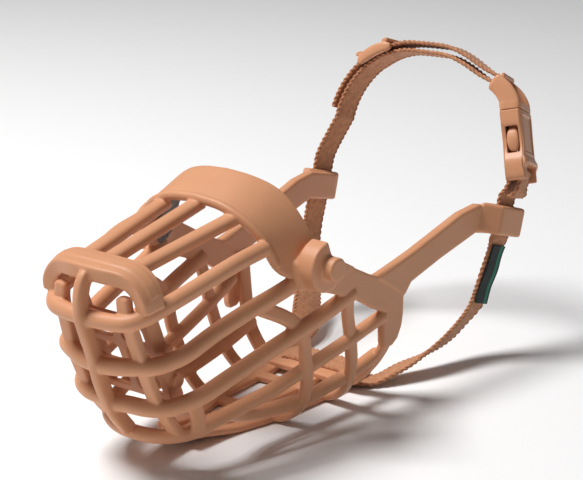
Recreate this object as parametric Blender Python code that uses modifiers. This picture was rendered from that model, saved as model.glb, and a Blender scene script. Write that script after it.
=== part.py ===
"""Basket muzzle for a dog, with its guard, felt pad, neck strap, slider and side release buckle.

Run with: blender --background --python part.py
Lengths below are in millimetres; meshes are written in metres, with +Z up.
The nose points to -Y. The origin is on the underside of the floor strip, in the mirror plane X = 0.
"""
import math

import bpy
import bmesh
from mathutils import Matrix, Vector

MM = 0.001
GAP = 0.3                    # clearance between neighbouring solids
WELD = 2e-6                  # metres; points closer than this are one point

# --- basket moulding -------------------------------------------------------------------------
BAR_RADIUS = 3.5             # round bars that run round the nose
KEEL_RADIUS = 3.0
BAR_SIDES = 10
FLAT_BAR_WIDTH = 6.4         # upright flat bars and hoops
FLAT_BAR_THICK = 3.2
BAND_THICK = 4.0
CAP_THICK = 7.0
PLATE_THICK = 3.6
FLOOR_THICK = 3.0
BOSS_RADIUS = 12.0
BOSS_HEIGHT = 7.0
PIN_RADIUS = 5.0
PIN_HEIGHT = 7.0
CHEEK_Y = -40.0              # the cheek plates turn outwards from here
CHEEK_X = 40.8
SPLAY = {1: 2.2, -1: 4.4}    # degrees, right and left arm; the strap holds the left one wider

# half paths of the round bars, right side, nose to cheek
NOSE_BARS = {
    "first": [(0, -131, 70.5), (10.7, -130, 70.5), (19, -128, 71), (24, -122, 73), (25.8, -115, 75),
              (27.8, -103, 78), (30.3, -88, 82.5), (32.3, -76, 86), (35, -58, 91)],
    "second": [(0, -125, 50), (8, -124.5, 50.5), (17, -121.5, 51.5), (23, -118, 52), (26, -113, 53.5),
               (29, -105, 55.5), (31, -91, 59.5), (33.7, -72, 64.5), (35.8, -58, 67.5), (39, -42, 72)],
    "third": [(0, -117, 31.5), (7, -115.5, 31.5), (15.5, -114, 31.5), (23, -110, 32), (27.5, -104, 33.5),
              (30.5, -96, 35.5), (32.7, -84, 39), (35.2, -65, 43.8), (38, -46, 48.5), (40, -31, 52.5),
              (41.6, -12, 58)],
    "fourth": [(0, -107, 14.5), (6, -106.3, 14.3), (13, -104, 14.5), (20.5, -99.5, 15.5), (24.5, -92.5, 17),
               (27, -83, 19.8), (30, -69, 22.4), (32.6, -56, 24.8), (34.8, -40.5, 28), (36.8, -26.5, 31.2),
               (39, -12, 34.8), (43, 12, 41.5)],
}
KEEL_BAR = [(27.6, -79, 20.5), (27, -64, 15.5), (29.4, -46, 13.5), (31.5, -31, 13), (34, -3, 16),
            (35.5, 18, 20)]
FRONT_CENTRE_BAR = [(0, -126, 91), (0, -131.5, 85), (0, -132, 72), (0, -127, 53), (0, -124, 40),
                    (0, -117, 27), (0, -107, 14.5), (0, -97, 9.5)]
FRONT_SIDE_BAR = [(16.4, -126.2, 80), (16.8, -126.2, 74.5), (17.6, -124, 66.5), (18.5, -119.3, 51.5),
                  (18.5, -113.5, 37.5), (18.7, -108, 28), (18.5, -102, 20), (18.3, -97, 15)]
FRONT_OUTER_BAR = [(27, -99.5, 33), (27.2, -97.5, 26), (25.6, -95, 19.5), (23.2, -93.5, 16.5)]
HOOPS = {
    "front_hoop": [(34, -66, 64), (36.4, -50, 55), (37.6, -41.5, 46), (37.2, -39, 34), (35.6, -36, 22),
                   (31, -34.5, 10), (22.5, -34, 2.9), (12, -34, 1.75), (0, -34, 1.75)],
    "rear_hoop": [(41.4, -15, 58), (39.8, -12.5, 47), (39.4, -10, 36), (37.6, -6.5, 22), (33, -4, 10),
                  (24.5, -2, 2.9), (12, -1, 1.75), (0, -1, 1.75)],
    "rear_rim": [(42.4, 18, 50), (42.2, 18.6, 40), (40, 17.4, 28), (36, 15, 18), (30, 14, 10), (24, 14, 4.6),
                 (12, 14, 4.3), (0, 14, 4.3)],
}
FLOOR_STRIP = [(0, -106, 14), (0, -97, 9.8), (0, -86, 5.8), (0, -73, 2.9), (0, -60, 1.5), (0, 14, 1.5)]
FLOOR_STRIP_HALF_WIDTH = 7.0
FLOOR_EDGE = [(7, -80, 6.6), (9, -66, 3.6), (11.5, -53, 1.6), (16.5, -32, 1.6), (19, -2, 1.6), (20, 15, 1.6)]
CHIN_HALF_WIDTH = 23.5
CHIN_FRONT_Y = 10.0
CHIN_REAR_Y = 33.5
CHIN_HEIGHT = (2.7, 5.5)     # the chin plate is raised so that webbing passes under it
CHIN_SLOT_X = 16.0
CHIN_SLOT_Y = 23.5

# outer edge lines of the nose cap and the bridge band, centre to right
CAP_FRONT = [(0, -131.4, 92.4), (8, -131, 92.3), (16, -129.4, 91.4), (21, -128.4, 89), (24.8, -127.8, 85),
             (27.8, -127.2, 80.4), (29, -127, 75.5)]
CAP_REAR = [(0, -117, 94.2), (8, -117, 94.1), (16, -117, 93.6), (21, -117, 92), (25.4, -117, 88.6),
            (28, -117, 84), (29.2, -117, 78)]
BAND_FRONT = [(0, -66, 104.5), (12, -66, 103.5), (20, -65.5, 101), (27, -64, 96.5), (32.5, -61.5, 89.5),
              (36, -58.5, 80), (39.5, -51, 74), (40.5, -45, 68)]
BAND_REAR = [(0, -44, 111.5), (12, -43.5, 110.5), (22, -41.5, 107.5), (29, -40, 103), (35, -39, 96.5),
             (39.5, -37.5, 89), (41.5, -36, 80), (42.5, -33, 72)]
TOP_BARS = {"left": [(-13, -119.5, 87), (-18.7, -61, 99)], "centre": [(0, -119.5, 88.8), (0, -61, 102.5)],
            "right": [(13, -119.5, 87), (18.7, -61, 99)]}
TOP_BAR_WIDTH = 7.0
TOP_BAR_THICK = 4.4

# outline of a cheek plate with its arm, (Y, Z)
CHEEK_OUTLINE = [(-50, 68.5), (-50, 80), (-40, 87), (-31, 84), (-27, 77), (-11, 68.2), (3, 61.8), (30, 66.8),
                 (69, 76.4), (103, 70.0), (101, 57), (78, 63), (50, 57.5), (25, 50.7), (23, 47), (22.9, 39),
                 (21.8, 33.5), (19, 28.5), (15, 26), (9.5, 26), (8.2, 29), (8, 39.5), (9.5, 43), (-12, 55.5),
                 (-34, 63.8)]
CHEEK_TAIL = [(-38, 86), (-33, 84.5), (-27.6, 77), (-14.5, 69.8), (-28, 65.4)]
BOSS_CENTRE = (-39.6, 76.3)  # Y, Z
BLOCK_CENTRE = (96.2, 65.5)  # Y, Z
BLOCK_SIZE = (9.0, 21.7, 13.4)
BLOCK_OUT = 4.2              # block centre from the arm's mid plane
BLOCK_PITCH = 17.0           # degrees, rear end lower
SLOT_SIZE = (3.2, 16.6)

# the moulding is cut into named regions; each outline is (Y, Z) in side view
REGIONS = {
    "nose_cap": ([(-160, 66.5), (-160, 130), (-106, 130), (-106, 81.9)], 0, 60),
    "top_bar": ([(-105.7, 82.0), (-105.7, 130), (-68.3, 130), (-68.3, 92.6)], 0, 60),
    "bridge_band": ([(-68, 92.7), (-68, 130), (-20, 130), (-20, 89.3), (-57.5, 89.3)], 0, 60),
    "front_grille": ([(-160, -5), (-160, 66.2), (-100.3, 83.2), (-100.3, 30), (-90, 24), (-90, -5)], 0, 60),
    "upper_bar": ([(-100, 67), (-100, 83.3), (-68.3, 92.3), (-58, 89), (-58, 79)], 15, 60),
    "side_grille": ([(-89.7, 6.8), (-89.7, 24.2), (-100, 30.2), (-100, 66.7), (-58, 78.7), (-58, 70.5),
                     (-13, 54.5), (11, 42), (40, 42), (40, 6.8)], 15, 60),
    "cheek_arm": ([(-57.7, 70.7), (-57.7, 89), (120, 89), (120, 42.3), (11, 42.3), (-13, 54.8)], 28, 80),
    "floor_grille": ([(-89.7, -5), (-89.7, 6.5), (8.7, 6.5), (8.7, -5)], 0, 60),
    "chin_plate": ([(9, -5), (9, 6.5), (60, 6.5), (60, -5)], 0, 60),
}
TOP_BAR_SPLIT = 6.0          # the three top bars are told apart at this X

# --- guard and felt --------------------------------------------------------------------------
GUARD_SIZE = (38.0, 42.0, 2.0)
GUARD_PLACE = (0.0, -109.0, 50.0)
GUARD_PITCH = 22.0           # degrees, leaning with the front of the basket
GUARD_WINDOW = (13.0, 9.6)
GUARD_FLANGE = 8.0
FELT_THICK = 3.0
FELT_LENGTH = 15.0
STUD_RADIUS = 1.7

# --- webbing and its hardware ----------------------------------------------------------------
WEB_WIDTH = 15.0
WEB_THICK = 1.6
LOOP_ORIGIN = (0.0, *BLOCK_CENTRE)
SWING_S = 8.6                # the neck strap swings about this height over the slots
SLOT_X = {1: 50.3, -1: -55.6}
ARC_CENTRE = (-9.5, 33.5)
ARC_RADIUS = 38.4
LAYER_STEP = 3.6             # from the inner layer of webbing to the outer one at the slider
SLIDER_ANGLE = 122.0         # degrees round ARC_CENTRE
SLIDER_SIZE = (18.5, 23.5)

# middle line of each chin strap below its slot block, with the direction of its width
CHIN_RUN = {
    1: [((49.1, 93, 52.4), (-0.1, 0.94, -0.33)), ((47.4, 88.5, 40.1), (-0.1, 0.94, -0.33)),
        ((45.9, 84.4, 29), (-0.1, 0.94, -0.33)), ((43.6, 77, 21), (-0.35, 0.74, -0.55)),
        ((41.6, 67, 15), (-0.45, 0.6, -0.62)), ((38.6, 54, 10.4), (-0.6, 0.6, -0.5)),
        ((33.5, 40, 6), (-0.68, 0.72, -0.15)), ((28.5, 28.5, 2.4), (-0.35, 0.93, 0))],
    -1: [((57.2, 92.3, 45), (0, 0.96, -0.29)), ((54.4, 86.5, 32), (0, 0.95, -0.3)),
         ((48, 77, 21), (-0.25, 0.87, -0.4)), ((40.5, 66, 13.6), (-0.45, 0.76, -0.4)),
         ((33, 54, 8), (-0.6, 0.76, -0.15)), ((29.8, 41, 4.1), (-0.62, 0.78, 0)),
         ((28, 28, 1.9), (-0.35, 0.93, 0))],
}
CHIN_TUCK = 5.0              # the webbing gathers to a narrower width where it turns under the chin plate
CHIN_TUCK_AT = 0.66          # share of the way along

BUCKLE_BASE = (55.8, 21.5)   # middle of the socket's lower end
BUCKLE_LEAN = 17.8           # degrees inwards from the loop's upright
BUCKLE_TWIST = 14.0          # degrees about the buckle's own length
SOCKET_SIZE = (21.0, 8.6, 30.0)
SOCKET_WALL = 1.5
SOCKET_FOOT = 9.0            # solid lower end with the webbing slot
WEB_BAR_THICK = 2.2
PLUG_SHOULDER = 2.7          # from the socket's mouth to the bend of the plug
PLUG_HEAD = 13.5             # bent outer end of the plug
PLUG_BEND = 20.0
PLUG_BAR = (1.1, 1.2)        # section of the plug's webbing bar, through and along the buckle
PRONG_Y = 6.6
PRONG_THICK = 2.0
PRONG_TIP_Z = 13.5
PRONG_ROOT_Z = 30.0
PRONG_PAD = (2.2, 7.0)       # how far the thumb pad stands out, and its length
LABEL_SIZE = (13.0, 24.0, 0.9)

TAN = (0.72, 0.40, 0.23, 1.0)
TAN_WEB = (0.62, 0.33, 0.19, 1.0)
FELT_GREY = (0.10, 0.10, 0.11, 1.0)
LABEL_BLACK = (0.015, 0.02, 0.018, 1.0)


def clear_scene():
    """Remove what the startup file holds."""
    for thing in list(bpy.data.objects):
        bpy.data.objects.remove(thing, do_unlink=True)


def material(name, colour, roughness):
    """A plain Principled material."""
    made = bpy.data.materials.new(name)
    made.use_nodes = True
    shader = made.node_tree.nodes["Principled BSDF"]
    shader.inputs["Base Color"].default_value = colour
    shader.inputs["Roughness"].default_value = roughness
    shader.inputs["Metallic"].default_value = 0.0
    return made


def smooth(points, steps=4):
    """Catmull-Rom curve through the points."""
    known = [Vector(p) for p in points]
    ends = [known[0] * 2 - known[1]] + known + [known[-1] * 2 - known[-2]]
    curve = []
    for i in range(1, len(ends) - 2):
        a, b, c, d = ends[i - 1:i + 3]
        for k in range(steps):
            t = k / steps
            curve.append(0.5 * (2 * b + (c - a) * t + (2 * a - 5 * b + 4 * c - d) * t * t
                                + (3 * b - a - 3 * c + d) * t ** 3))
    curve.append(known[-1])
    return curve


def mirrored(points):
    """The whole path of a bar that is given from the middle to its right end."""
    left = [Vector((-p[0], p[1], p[2])) for p in reversed(points)]
    return left[:-1] + [Vector(p) for p in points]


def new_object(name, mesh, collection):
    """Link a mesh as an object."""
    made = bpy.data.objects.new(name, mesh)
    collection.objects.link(made)
    return made


def mesh_from(name, shape):
    """Turn a bmesh in millimetres into a mesh in metres, facing out."""
    bmesh.ops.recalc_face_normals(shape, faces=shape.faces)
    bmesh.ops.scale(shape, vec=(MM, MM, MM), verts=shape.verts)
    mesh = bpy.data.meshes.new(name)
    shape.to_mesh(mesh)
    shape.free()
    return mesh


def tube(name, points, radius, collection, sides=BAR_SIDES):
    """Round bar along a path: a poly curve with filled caps, made a closed mesh."""
    curve = bpy.data.curves.new(name, "CURVE")
    curve.dimensions = "3D"
    curve.bevel_depth = radius * MM
    curve.bevel_resolution = (sides - 4) // 2
    curve.use_fill_caps = True
    spline = curve.splines.new("POLY")
    spline.points.add(len(points) - 1)
    for point, place in zip(spline.points, points):
        point.co = (place[0] * MM, place[1] * MM, place[2] * MM, 1.0)
    holder = bpy.data.objects.new(name, curve)
    collection.objects.link(holder)
    depsgraph = bpy.context.evaluated_depsgraph_get()
    mesh = bpy.data.meshes.new_from_object(holder.evaluated_get(depsgraph))
    bpy.data.objects.remove(holder, do_unlink=True)
    shape = bmesh.new()
    shape.from_mesh(mesh)
    bmesh.ops.remove_doubles(shape, verts=shape.verts, dist=1e-6)
    bmesh.ops.recalc_face_normals(shape, faces=shape.faces)
    shape.to_mesh(mesh)
    shape.free()
    return new_object(name, mesh, collection)


def ribbon(name, points, across, width, thick, collection):
    """Flat bar or webbing: a path swept sideways, then thickened. Width and across may be lists."""
    count = len(points)
    widths = width if isinstance(width, list) else [width] * count
    sides = across if isinstance(across, list) else [across] * count
    shape = bmesh.new()
    rows = []
    for i, (point, wide, side) in enumerate(zip(points, widths, sides)):
        along = (Vector(points[min(i + 1, count - 1)]) - Vector(points[max(i - 1, 0)])).normalized()
        half = (Vector(side) - along * along.dot(Vector(side))).normalized() * wide / 2
        rows.append((shape.verts.new(Vector(point) - half), shape.verts.new(Vector(point) + half)))
    for (a, b), (c, d) in zip(rows, rows[1:]):
        shape.faces.new((a, b, d, c))
    return thicken(name, shape, thick, collection, 0.0)


def thicken(name, shape, thick, collection, offset):
    """Close an open sheet with a Solidify modifier and make the result a mesh."""
    sheet = new_object(name, mesh_from(name, shape), collection)
    solid = sheet.modifiers.new("Solidify", "SOLIDIFY")
    solid.thickness = thick * MM
    solid.offset = offset
    solid.use_even_offset = offset == 0.0
    return baked(sheet, collection)


def baked(thing, collection):
    """Replace an object by its evaluated mesh."""
    depsgraph = bpy.context.evaluated_depsgraph_get()
    mesh = bpy.data.meshes.new_from_object(thing.evaluated_get(depsgraph))
    mesh.transform(thing.matrix_world)
    name = thing.name
    bpy.data.objects.remove(thing, do_unlink=True)
    mesh.name = name
    return new_object(name, mesh, collection)


def shell_between(name, front, rear, thick, collection):
    """Shell lofted between two mirrored edge lines, thickened inwards."""
    first = mirrored(smooth(front, 3))
    second = mirrored(smooth(rear, 3))
    shape = bmesh.new()
    front_row = [shape.verts.new(p) for p in first]
    rear_row = [shape.verts.new(p) for p in second]
    for i in range(len(first) - 1):
        shape.faces.new((front_row[i], front_row[i + 1], rear_row[i + 1], rear_row[i]))
    return thicken(name, shape, thick, collection, -1.0)


def prism(name, outline, low, high, axis, collection):
    """Flat outline extruded along X, Y or Z from low to high."""
    shape = bmesh.new()
    order = {"X": lambda a, b: (low, a, b),
             "Y": lambda a, b: (a, low, b),
             "Z": lambda a, b: (a, b, low)}[axis]
    face = shape.faces.new([shape.verts.new(order(a, b)) for a, b in outline])
    step = {"X": (high - low, 0, 0), "Y": (0, high - low, 0), "Z": (0, 0, high - low)}[axis]
    grown = bmesh.ops.extrude_face_region(shape, geom=[face])
    moved = [v for v in grown["geom"] if isinstance(v, bmesh.types.BMVert)]
    bmesh.ops.translate(shape, verts=moved, vec=step)
    return new_object(name, mesh_from(name, shape), collection)


def box(name, size, place, collection, turn=None):
    """Box of a size, turned about its centre and moved to its place."""
    shape = bmesh.new()
    bmesh.ops.create_cube(shape, size=1.0, matrix=Matrix.Diagonal((*size, 1.0)))
    move = Matrix.Translation(place) @ (turn or Matrix.Identity(4))
    bmesh.ops.transform(shape, matrix=move, verts=shape.verts)
    return new_object(name, mesh_from(name, shape), collection)


def cylinder(name, radius, start, end, collection, sides=24):
    """Cylinder between two points."""
    start = Vector(start)
    end = Vector(end)
    axis = end - start
    turn = axis.to_track_quat("Z", "Y").to_matrix().to_4x4()
    shape = bmesh.new()
    bmesh.ops.create_cone(shape, cap_ends=True, segments=sides, radius1=radius, radius2=radius,
                          depth=axis.length, matrix=Matrix.Translation((start + end) / 2) @ turn)
    return new_object(name, mesh_from(name, shape), collection)


def combine(target, tools, operation, collection, keep_tools=False):
    """Apply one exact Boolean per tool and bake the result."""
    for tool in tools:
        cut = target.modifiers.new("Boolean", "BOOLEAN")
        cut.operation = operation
        cut.solver = "EXACT"
        cut.object = tool
        target = baked(target, collection)
    if not keep_tools:
        for tool in tools:
            bpy.data.objects.remove(tool, do_unlink=True)
    return target


def tidy(thing, angle=35.0):
    """Weld points that meet and shade round faces smooth."""
    shape = bmesh.new()
    shape.from_mesh(thing.data)
    bmesh.ops.remove_doubles(shape, verts=shape.verts, dist=WELD)
    bmesh.ops.recalc_face_normals(shape, faces=shape.faces)
    shape.to_mesh(thing.data)
    shape.free()
    thing.data.shade_smooth()
    thing.data.set_sharp_from_angle(angle=math.radians(angle))
    return thing


def cheek_matrix(side):
    """Place a plate modelled in the plane X = 0 as the right or left cheek."""
    turn = Matrix.Rotation(math.radians(-SPLAY[side] * side), 4, "Z")
    return Matrix.Translation((side * CHEEK_X, CHEEK_Y, 0)) @ turn @ Matrix.Translation((0, -CHEEK_Y, 0))


def placed(thing, matrix):
    """Move a mesh in millimetre terms by changing its vertices."""
    scaled = matrix.copy()
    scaled.translation = matrix.translation * MM
    thing.data.transform(scaled)
    return thing


def cheek_and_arm(side, scrap):
    """Plate, arm, D-shaped boss, stub pin and slot block of one side, joined."""
    half = PLATE_THICK / 2
    out = side * half
    plate = prism("plate", CHEEK_OUTLINE, -half, half, "X", scrap)
    tail = prism("tail", CHEEK_TAIL, min(0, side * (half + BOSS_HEIGHT - 2.0)),
                 max(0, side * (half + BOSS_HEIGHT - 2.0)), "X", scrap)
    disc = cylinder("disc", BOSS_RADIUS, (0, *BOSS_CENTRE),
                    (out + side * BOSS_HEIGHT, *BOSS_CENTRE), scrap, 32)
    pin = cylinder("pin", PIN_RADIUS, (0, *BOSS_CENTRE),
                   (out + side * (BOSS_HEIGHT + PIN_HEIGHT), *BOSS_CENTRE), scrap, 20)
    pitch = Matrix.Rotation(math.radians(-BLOCK_PITCH), 4, "X")
    block = box("block", BLOCK_SIZE, (side * BLOCK_OUT, *BLOCK_CENTRE), scrap, pitch)
    joined = combine(plate, [tail, disc, pin, block], "UNION", scrap)
    placed(joined, cheek_matrix(side))
    slot = box("slot", (SLOT_SIZE[0], SLOT_SIZE[1], 40), (SLOT_X[side], *BLOCK_CENTRE), scrap, pitch)
    return combine(joined, [slot], "DIFFERENCE", scrap)


def basket_moulding(scrap):
    """The whole one-piece basket as a single union, ready to be cut into regions."""
    pieces = []
    for name, path in NOSE_BARS.items():
        pieces.append(tube(name, mirrored(smooth(path, 2)), BAR_RADIUS, scrap))
    for side in (1, -1):
        keel = [(side * p[0], p[1], p[2]) for p in KEEL_BAR]
        pieces.append(tube("keel", smooth(keel, 2), KEEL_RADIUS, scrap))
        upright = [(side * p[0], p[1], p[2]) for p in FRONT_SIDE_BAR]
        pieces.append(ribbon("upright", smooth(upright, 2), (1, 0, 0), FLAT_BAR_WIDTH,
                             FLAT_BAR_THICK, scrap))
        outer = [(side * p[0], p[1], p[2]) for p in FRONT_OUTER_BAR]
        pieces.append(ribbon("outer", smooth(outer, 2), (1, -0.5 * side, 0), FLAT_BAR_WIDTH - 1,
                             FLAT_BAR_THICK, scrap))
        edge = [(side * p[0], p[1], p[2]) for p in FLOOR_EDGE]
        pieces.append(ribbon("edge", smooth(edge, 1), (1, 0, 0), FLAT_BAR_WIDTH, FLOOR_THICK, scrap))
        pieces.append(cheek_and_arm(side, scrap))
    pieces.append(ribbon("nose_upright", smooth(FRONT_CENTRE_BAR, 2), (1, 0, 0), FLAT_BAR_WIDTH + 0.6,
                         2 * BAR_RADIUS + 1.2, scrap))
    for name, path in HOOPS.items():
        wide = FLAT_BAR_WIDTH + (1.4 if name == "rear_rim" else 0.0)
        pieces.append(ribbon(name, mirrored(smooth(path, 2)[::-1]), (0, 1, 0), wide,
                             FLAT_BAR_THICK - 0.4, scrap))
    pieces.append(ribbon("strip", smooth(FLOOR_STRIP, 1), (1, 0, 0), 2 * FLOOR_STRIP_HALF_WIDTH, FLOOR_THICK,
                         scrap))
    chin_size = (2 * CHIN_HALF_WIDTH, CHIN_REAR_Y - CHIN_FRONT_Y, CHIN_HEIGHT[1] - CHIN_HEIGHT[0])
    chin_place = (0, (CHIN_REAR_Y + CHIN_FRONT_Y) / 2, sum(CHIN_HEIGHT) / 2)
    pieces.append(box("chin", chin_size, chin_place, scrap))
    for name, path in TOP_BARS.items():
        pieces.append(ribbon(name, [Vector(p) for p in path], (1, 0, 0), TOP_BAR_WIDTH,
                             TOP_BAR_THICK, scrap))
    pieces.append(shell_between("cap", CAP_FRONT, CAP_REAR, CAP_THICK, scrap))
    pieces.append(shell_between("band", BAND_FRONT, BAND_REAR, BAND_THICK, scrap))
    whole = combine(pieces[0], pieces[1:], "UNION", scrap)
    slots = [box("chin_slot", (SLOT_SIZE[0] + 1, SLOT_SIZE[1], 20),
                 (side * CHIN_SLOT_X, CHIN_SLOT_Y, 0), scrap)
             for side in (1, -1)]
    return combine(whole, slots, "DIFFERENCE", scrap)


def region(whole, name, outline, low, high, scrap):
    """The part of the moulding inside one side-view outline and one range of X."""
    mould = prism(name, outline, low, high, "X", scrap)
    copy = new_object(name, whole.data.copy(), scrap)
    return combine(copy, [mould], "INTERSECT", scrap)


def largest_body(thing):
    """Keep the largest connected body and drop slivers that a cut leaves."""
    shape = bmesh.new()
    shape.from_mesh(thing.data)
    unseen = set(shape.verts)
    bodies = []
    while unseen:
        stack = [unseen.pop()]
        body = set(stack)
        while stack:
            for edge in stack.pop().link_edges:
                for vert in edge.verts:
                    if vert in unseen:
                        unseen.discard(vert)
                        body.add(vert)
                        stack.append(vert)
        bodies.append(body)
    bodies.sort(key=len, reverse=True)
    for body in bodies[1:]:
        bmesh.ops.delete(shape, geom=list(body), context="VERTS")
    shape.to_mesh(thing.data)
    shape.free()
    return thing


def loop_axes():
    """The loop's own directions: rearwards along a slot, and up through it."""
    lean = math.radians(BLOCK_PITCH)
    return Vector((0, math.cos(lean), -math.sin(lean))), Vector((0, math.sin(lean), math.cos(lean)))


def in_loop(x, s):
    """Point of the strap loop's plane at X = x, a distance s above the slots."""
    return Vector(LOOP_ORIGIN) + Vector((x, 0, 0)) + loop_axes()[1] * s


def on_arc(radius, degrees):
    """Point on a circle about the arc's centre, in the loop plane."""
    angle = math.radians(degrees)
    return in_loop(ARC_CENTRE[0] + radius * math.cos(angle), ARC_CENTRE[1] + radius * math.sin(angle))


def buckle_matrix():
    """Frame of the buckle: x out of its face, y along its width, z along its length."""
    lean = math.radians(BUCKLE_LEAN)
    twist = math.radians(BUCKLE_TWIST)
    rear, up = loop_axes()
    along = Vector((-math.sin(lean), 0, 0)) + up * math.cos(lean)
    out = Vector((math.cos(lean), 0, 0)) + up * math.sin(lean)
    wide = rear * math.cos(twist) - out * math.sin(twist)
    face = out * math.cos(twist) + rear * math.sin(twist)
    matrix = Matrix((face, wide, along)).transposed().to_4x4()
    matrix.translation = in_loop(*BUCKLE_BASE)
    return matrix


def plug_bend():
    """Turn of the plug's outer end, about the width of the buckle at the bend."""
    place = Matrix.Translation((0, 0, SOCKET_SIZE[2] + PLUG_SHOULDER))
    return place @ Matrix.Rotation(math.radians(-PLUG_BEND), 4, "Y")


def inner_guard(scrap):
    """Leaning panel of six windows with a flange down each side."""
    wide, tall, thick = GUARD_SIZE
    panel = box("panel", (wide, thick, tall), (0, 0, 0), scrap)
    edges = [box("flange", (thick, GUARD_FLANGE, tall),
                 (side * (wide - thick) / 2, GUARD_FLANGE / 2, 0), scrap)
             for side in (1, -1)]
    panel = combine(panel, edges, "UNION", scrap)
    window_x = (wide - 2 * GUARD_WINDOW[0]) / 3 + GUARD_WINDOW[0]
    window_z = (tall - 3 * GUARD_WINDOW[1]) / 4 + GUARD_WINDOW[1]
    windows = [box("window", (GUARD_WINDOW[0], 8, GUARD_WINDOW[1]),
                   (side * window_x / 2, 0, row * window_z), scrap)
               for side in (1, -1) for row in (-1, 0, 1)]
    panel = combine(panel, windows, "DIFFERENCE", scrap)
    turn = Matrix.Rotation(math.radians(GUARD_PITCH), 4, "X")
    return placed(panel, Matrix.Translation(GUARD_PLACE) @ turn)


def felt_path():
    """Middle line of the felt under the band, with its width directions and inward normals."""
    front = mirrored(smooth(BAND_FRONT, 2)[:-2])
    rear = mirrored(smooth(BAND_REAR, 2)[:-2])
    across = [b - a for a, b in zip(front, rear)]
    middle = [a + (b - a) * 0.56 for a, b in zip(front, rear)]
    path = []
    inward = []
    for i, (point, side) in enumerate(zip(middle, across)):
        along = middle[min(i + 1, len(middle) - 1)] - middle[max(i - 1, 0)]
        normal = side.cross(along).normalized()
        inward.append(-normal if normal.z > 0 or normal.x * point.x > 0 else normal)
        path.append(point + inward[-1] * (BAND_THICK + FELT_THICK / 2 + 2 * GAP))
    return path, across, inward


def felt_pad(scrap):
    """Felt strip under the band, with a slit near each end for its stud."""
    path, across, inward = felt_path()
    pad = ribbon("felt", path, across, FELT_LENGTH, FELT_THICK, scrap)
    slits = [cylinder("slit", STUD_RADIUS + GAP, path[i] - inward[i] * 4, path[i] + inward[i] * 4, scrap, 12)
             for i in (1, len(path) - 2)]
    return combine(pad, slits, "DIFFERENCE", scrap)


def felt_stud(index, scrap):
    """Small moulded stud that the felt is buttoned on."""
    path, _, inward = felt_path()
    start = path[index] - inward[index] * (FELT_THICK / 2 + GAP)
    return cylinder("stud", STUD_RADIUS, start, start + inward[index] * (FELT_THICK + 2.0), scrap, 12)


def chin_strap(side, points, scrap):
    """Webbing from above one slot block, through it and down under the chin plate."""
    rear = loop_axes()[0]
    level = Vector((0, 1, 0))
    over = CHIN_HEIGHT[1] + WEB_THICK / 2 + GAP
    under = CHIN_HEIGHT[0] - WEB_THICK / 2 - GAP
    top = [(in_loop(SLOT_X[side], s), rear) for s in (SWING_S - 1.0, 0, -8)]
    run = [(Vector((side * p[0], p[1], p[2])), Vector((side * w[0], w[1], w[2]))) for p, w in points]
    low = [(Vector((side * x, CHIN_SLOT_Y, z)), level)
           for x, z in ((CHIN_SLOT_X + 8, under + 0.1), (CHIN_SLOT_X + 1.6, under),
                        (CHIN_SLOT_X, CHIN_HEIGHT[0] + 0.3), (CHIN_SLOT_X, CHIN_HEIGHT[1]),
                        (CHIN_SLOT_X - 1.6, over), (GAP / 2, over))]
    path, across = [smooth([item[k] for item in top + run + low[:1]], 3)
                    + smooth([item[k] for item in low], 2)[1:]
                    for k in (0, 1)]
    count = len(path)
    widths = [WEB_WIDTH - CHIN_TUCK * max(0.0, 1 - abs(i / count - CHIN_TUCK_AT) / 0.22)
              for i in range(count)]
    return ribbon("chin_strap", path, across, widths, WEB_THICK, scrap)


def end_widths(count):
    """Full width but for a narrowed first point, so that the end clears what it swings over."""
    return [WEB_WIDTH * 0.45, WEB_WIDTH * 0.9] + [WEB_WIDTH] * (count - 2)


def neck_strap_left(scrap):
    """Inner layer of webbing, up from the left slot and round the arc under the slider."""
    rise = [in_loop(SLOT_X[-1], SWING_S + GAP), in_loop(SLOT_X[-1], SWING_S + 2.6),
            in_loop(SLOT_X[-1] + 0.6, 20)]
    arc = [on_arc(ARC_RADIUS, degrees) for degrees in range(176, 100, -8)]
    path = rise + arc
    return ribbon("neck_left", path, loop_axes()[0], end_widths(len(path)), WEB_THICK, scrap)


def strap_tail(scrap):
    """Outer layer of webbing, over the slider's middle bar and down to the cut end."""
    path = [on_arc(ARC_RADIUS + LAYER_STEP, degrees) for degrees in range(168, 100, -8)]
    return ribbon("tail", [on_arc(ARC_RADIUS + LAYER_STEP, 173)] + path, loop_axes()[0],
                  WEB_WIDTH, WEB_THICK, scrap)


def plug_bar_place():
    """World place of the plug's webbing bar."""
    return buckle_matrix() @ plug_bend() @ Vector((0, 0, PLUG_HEAD - PLUG_BAR[1] / 2))


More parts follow.
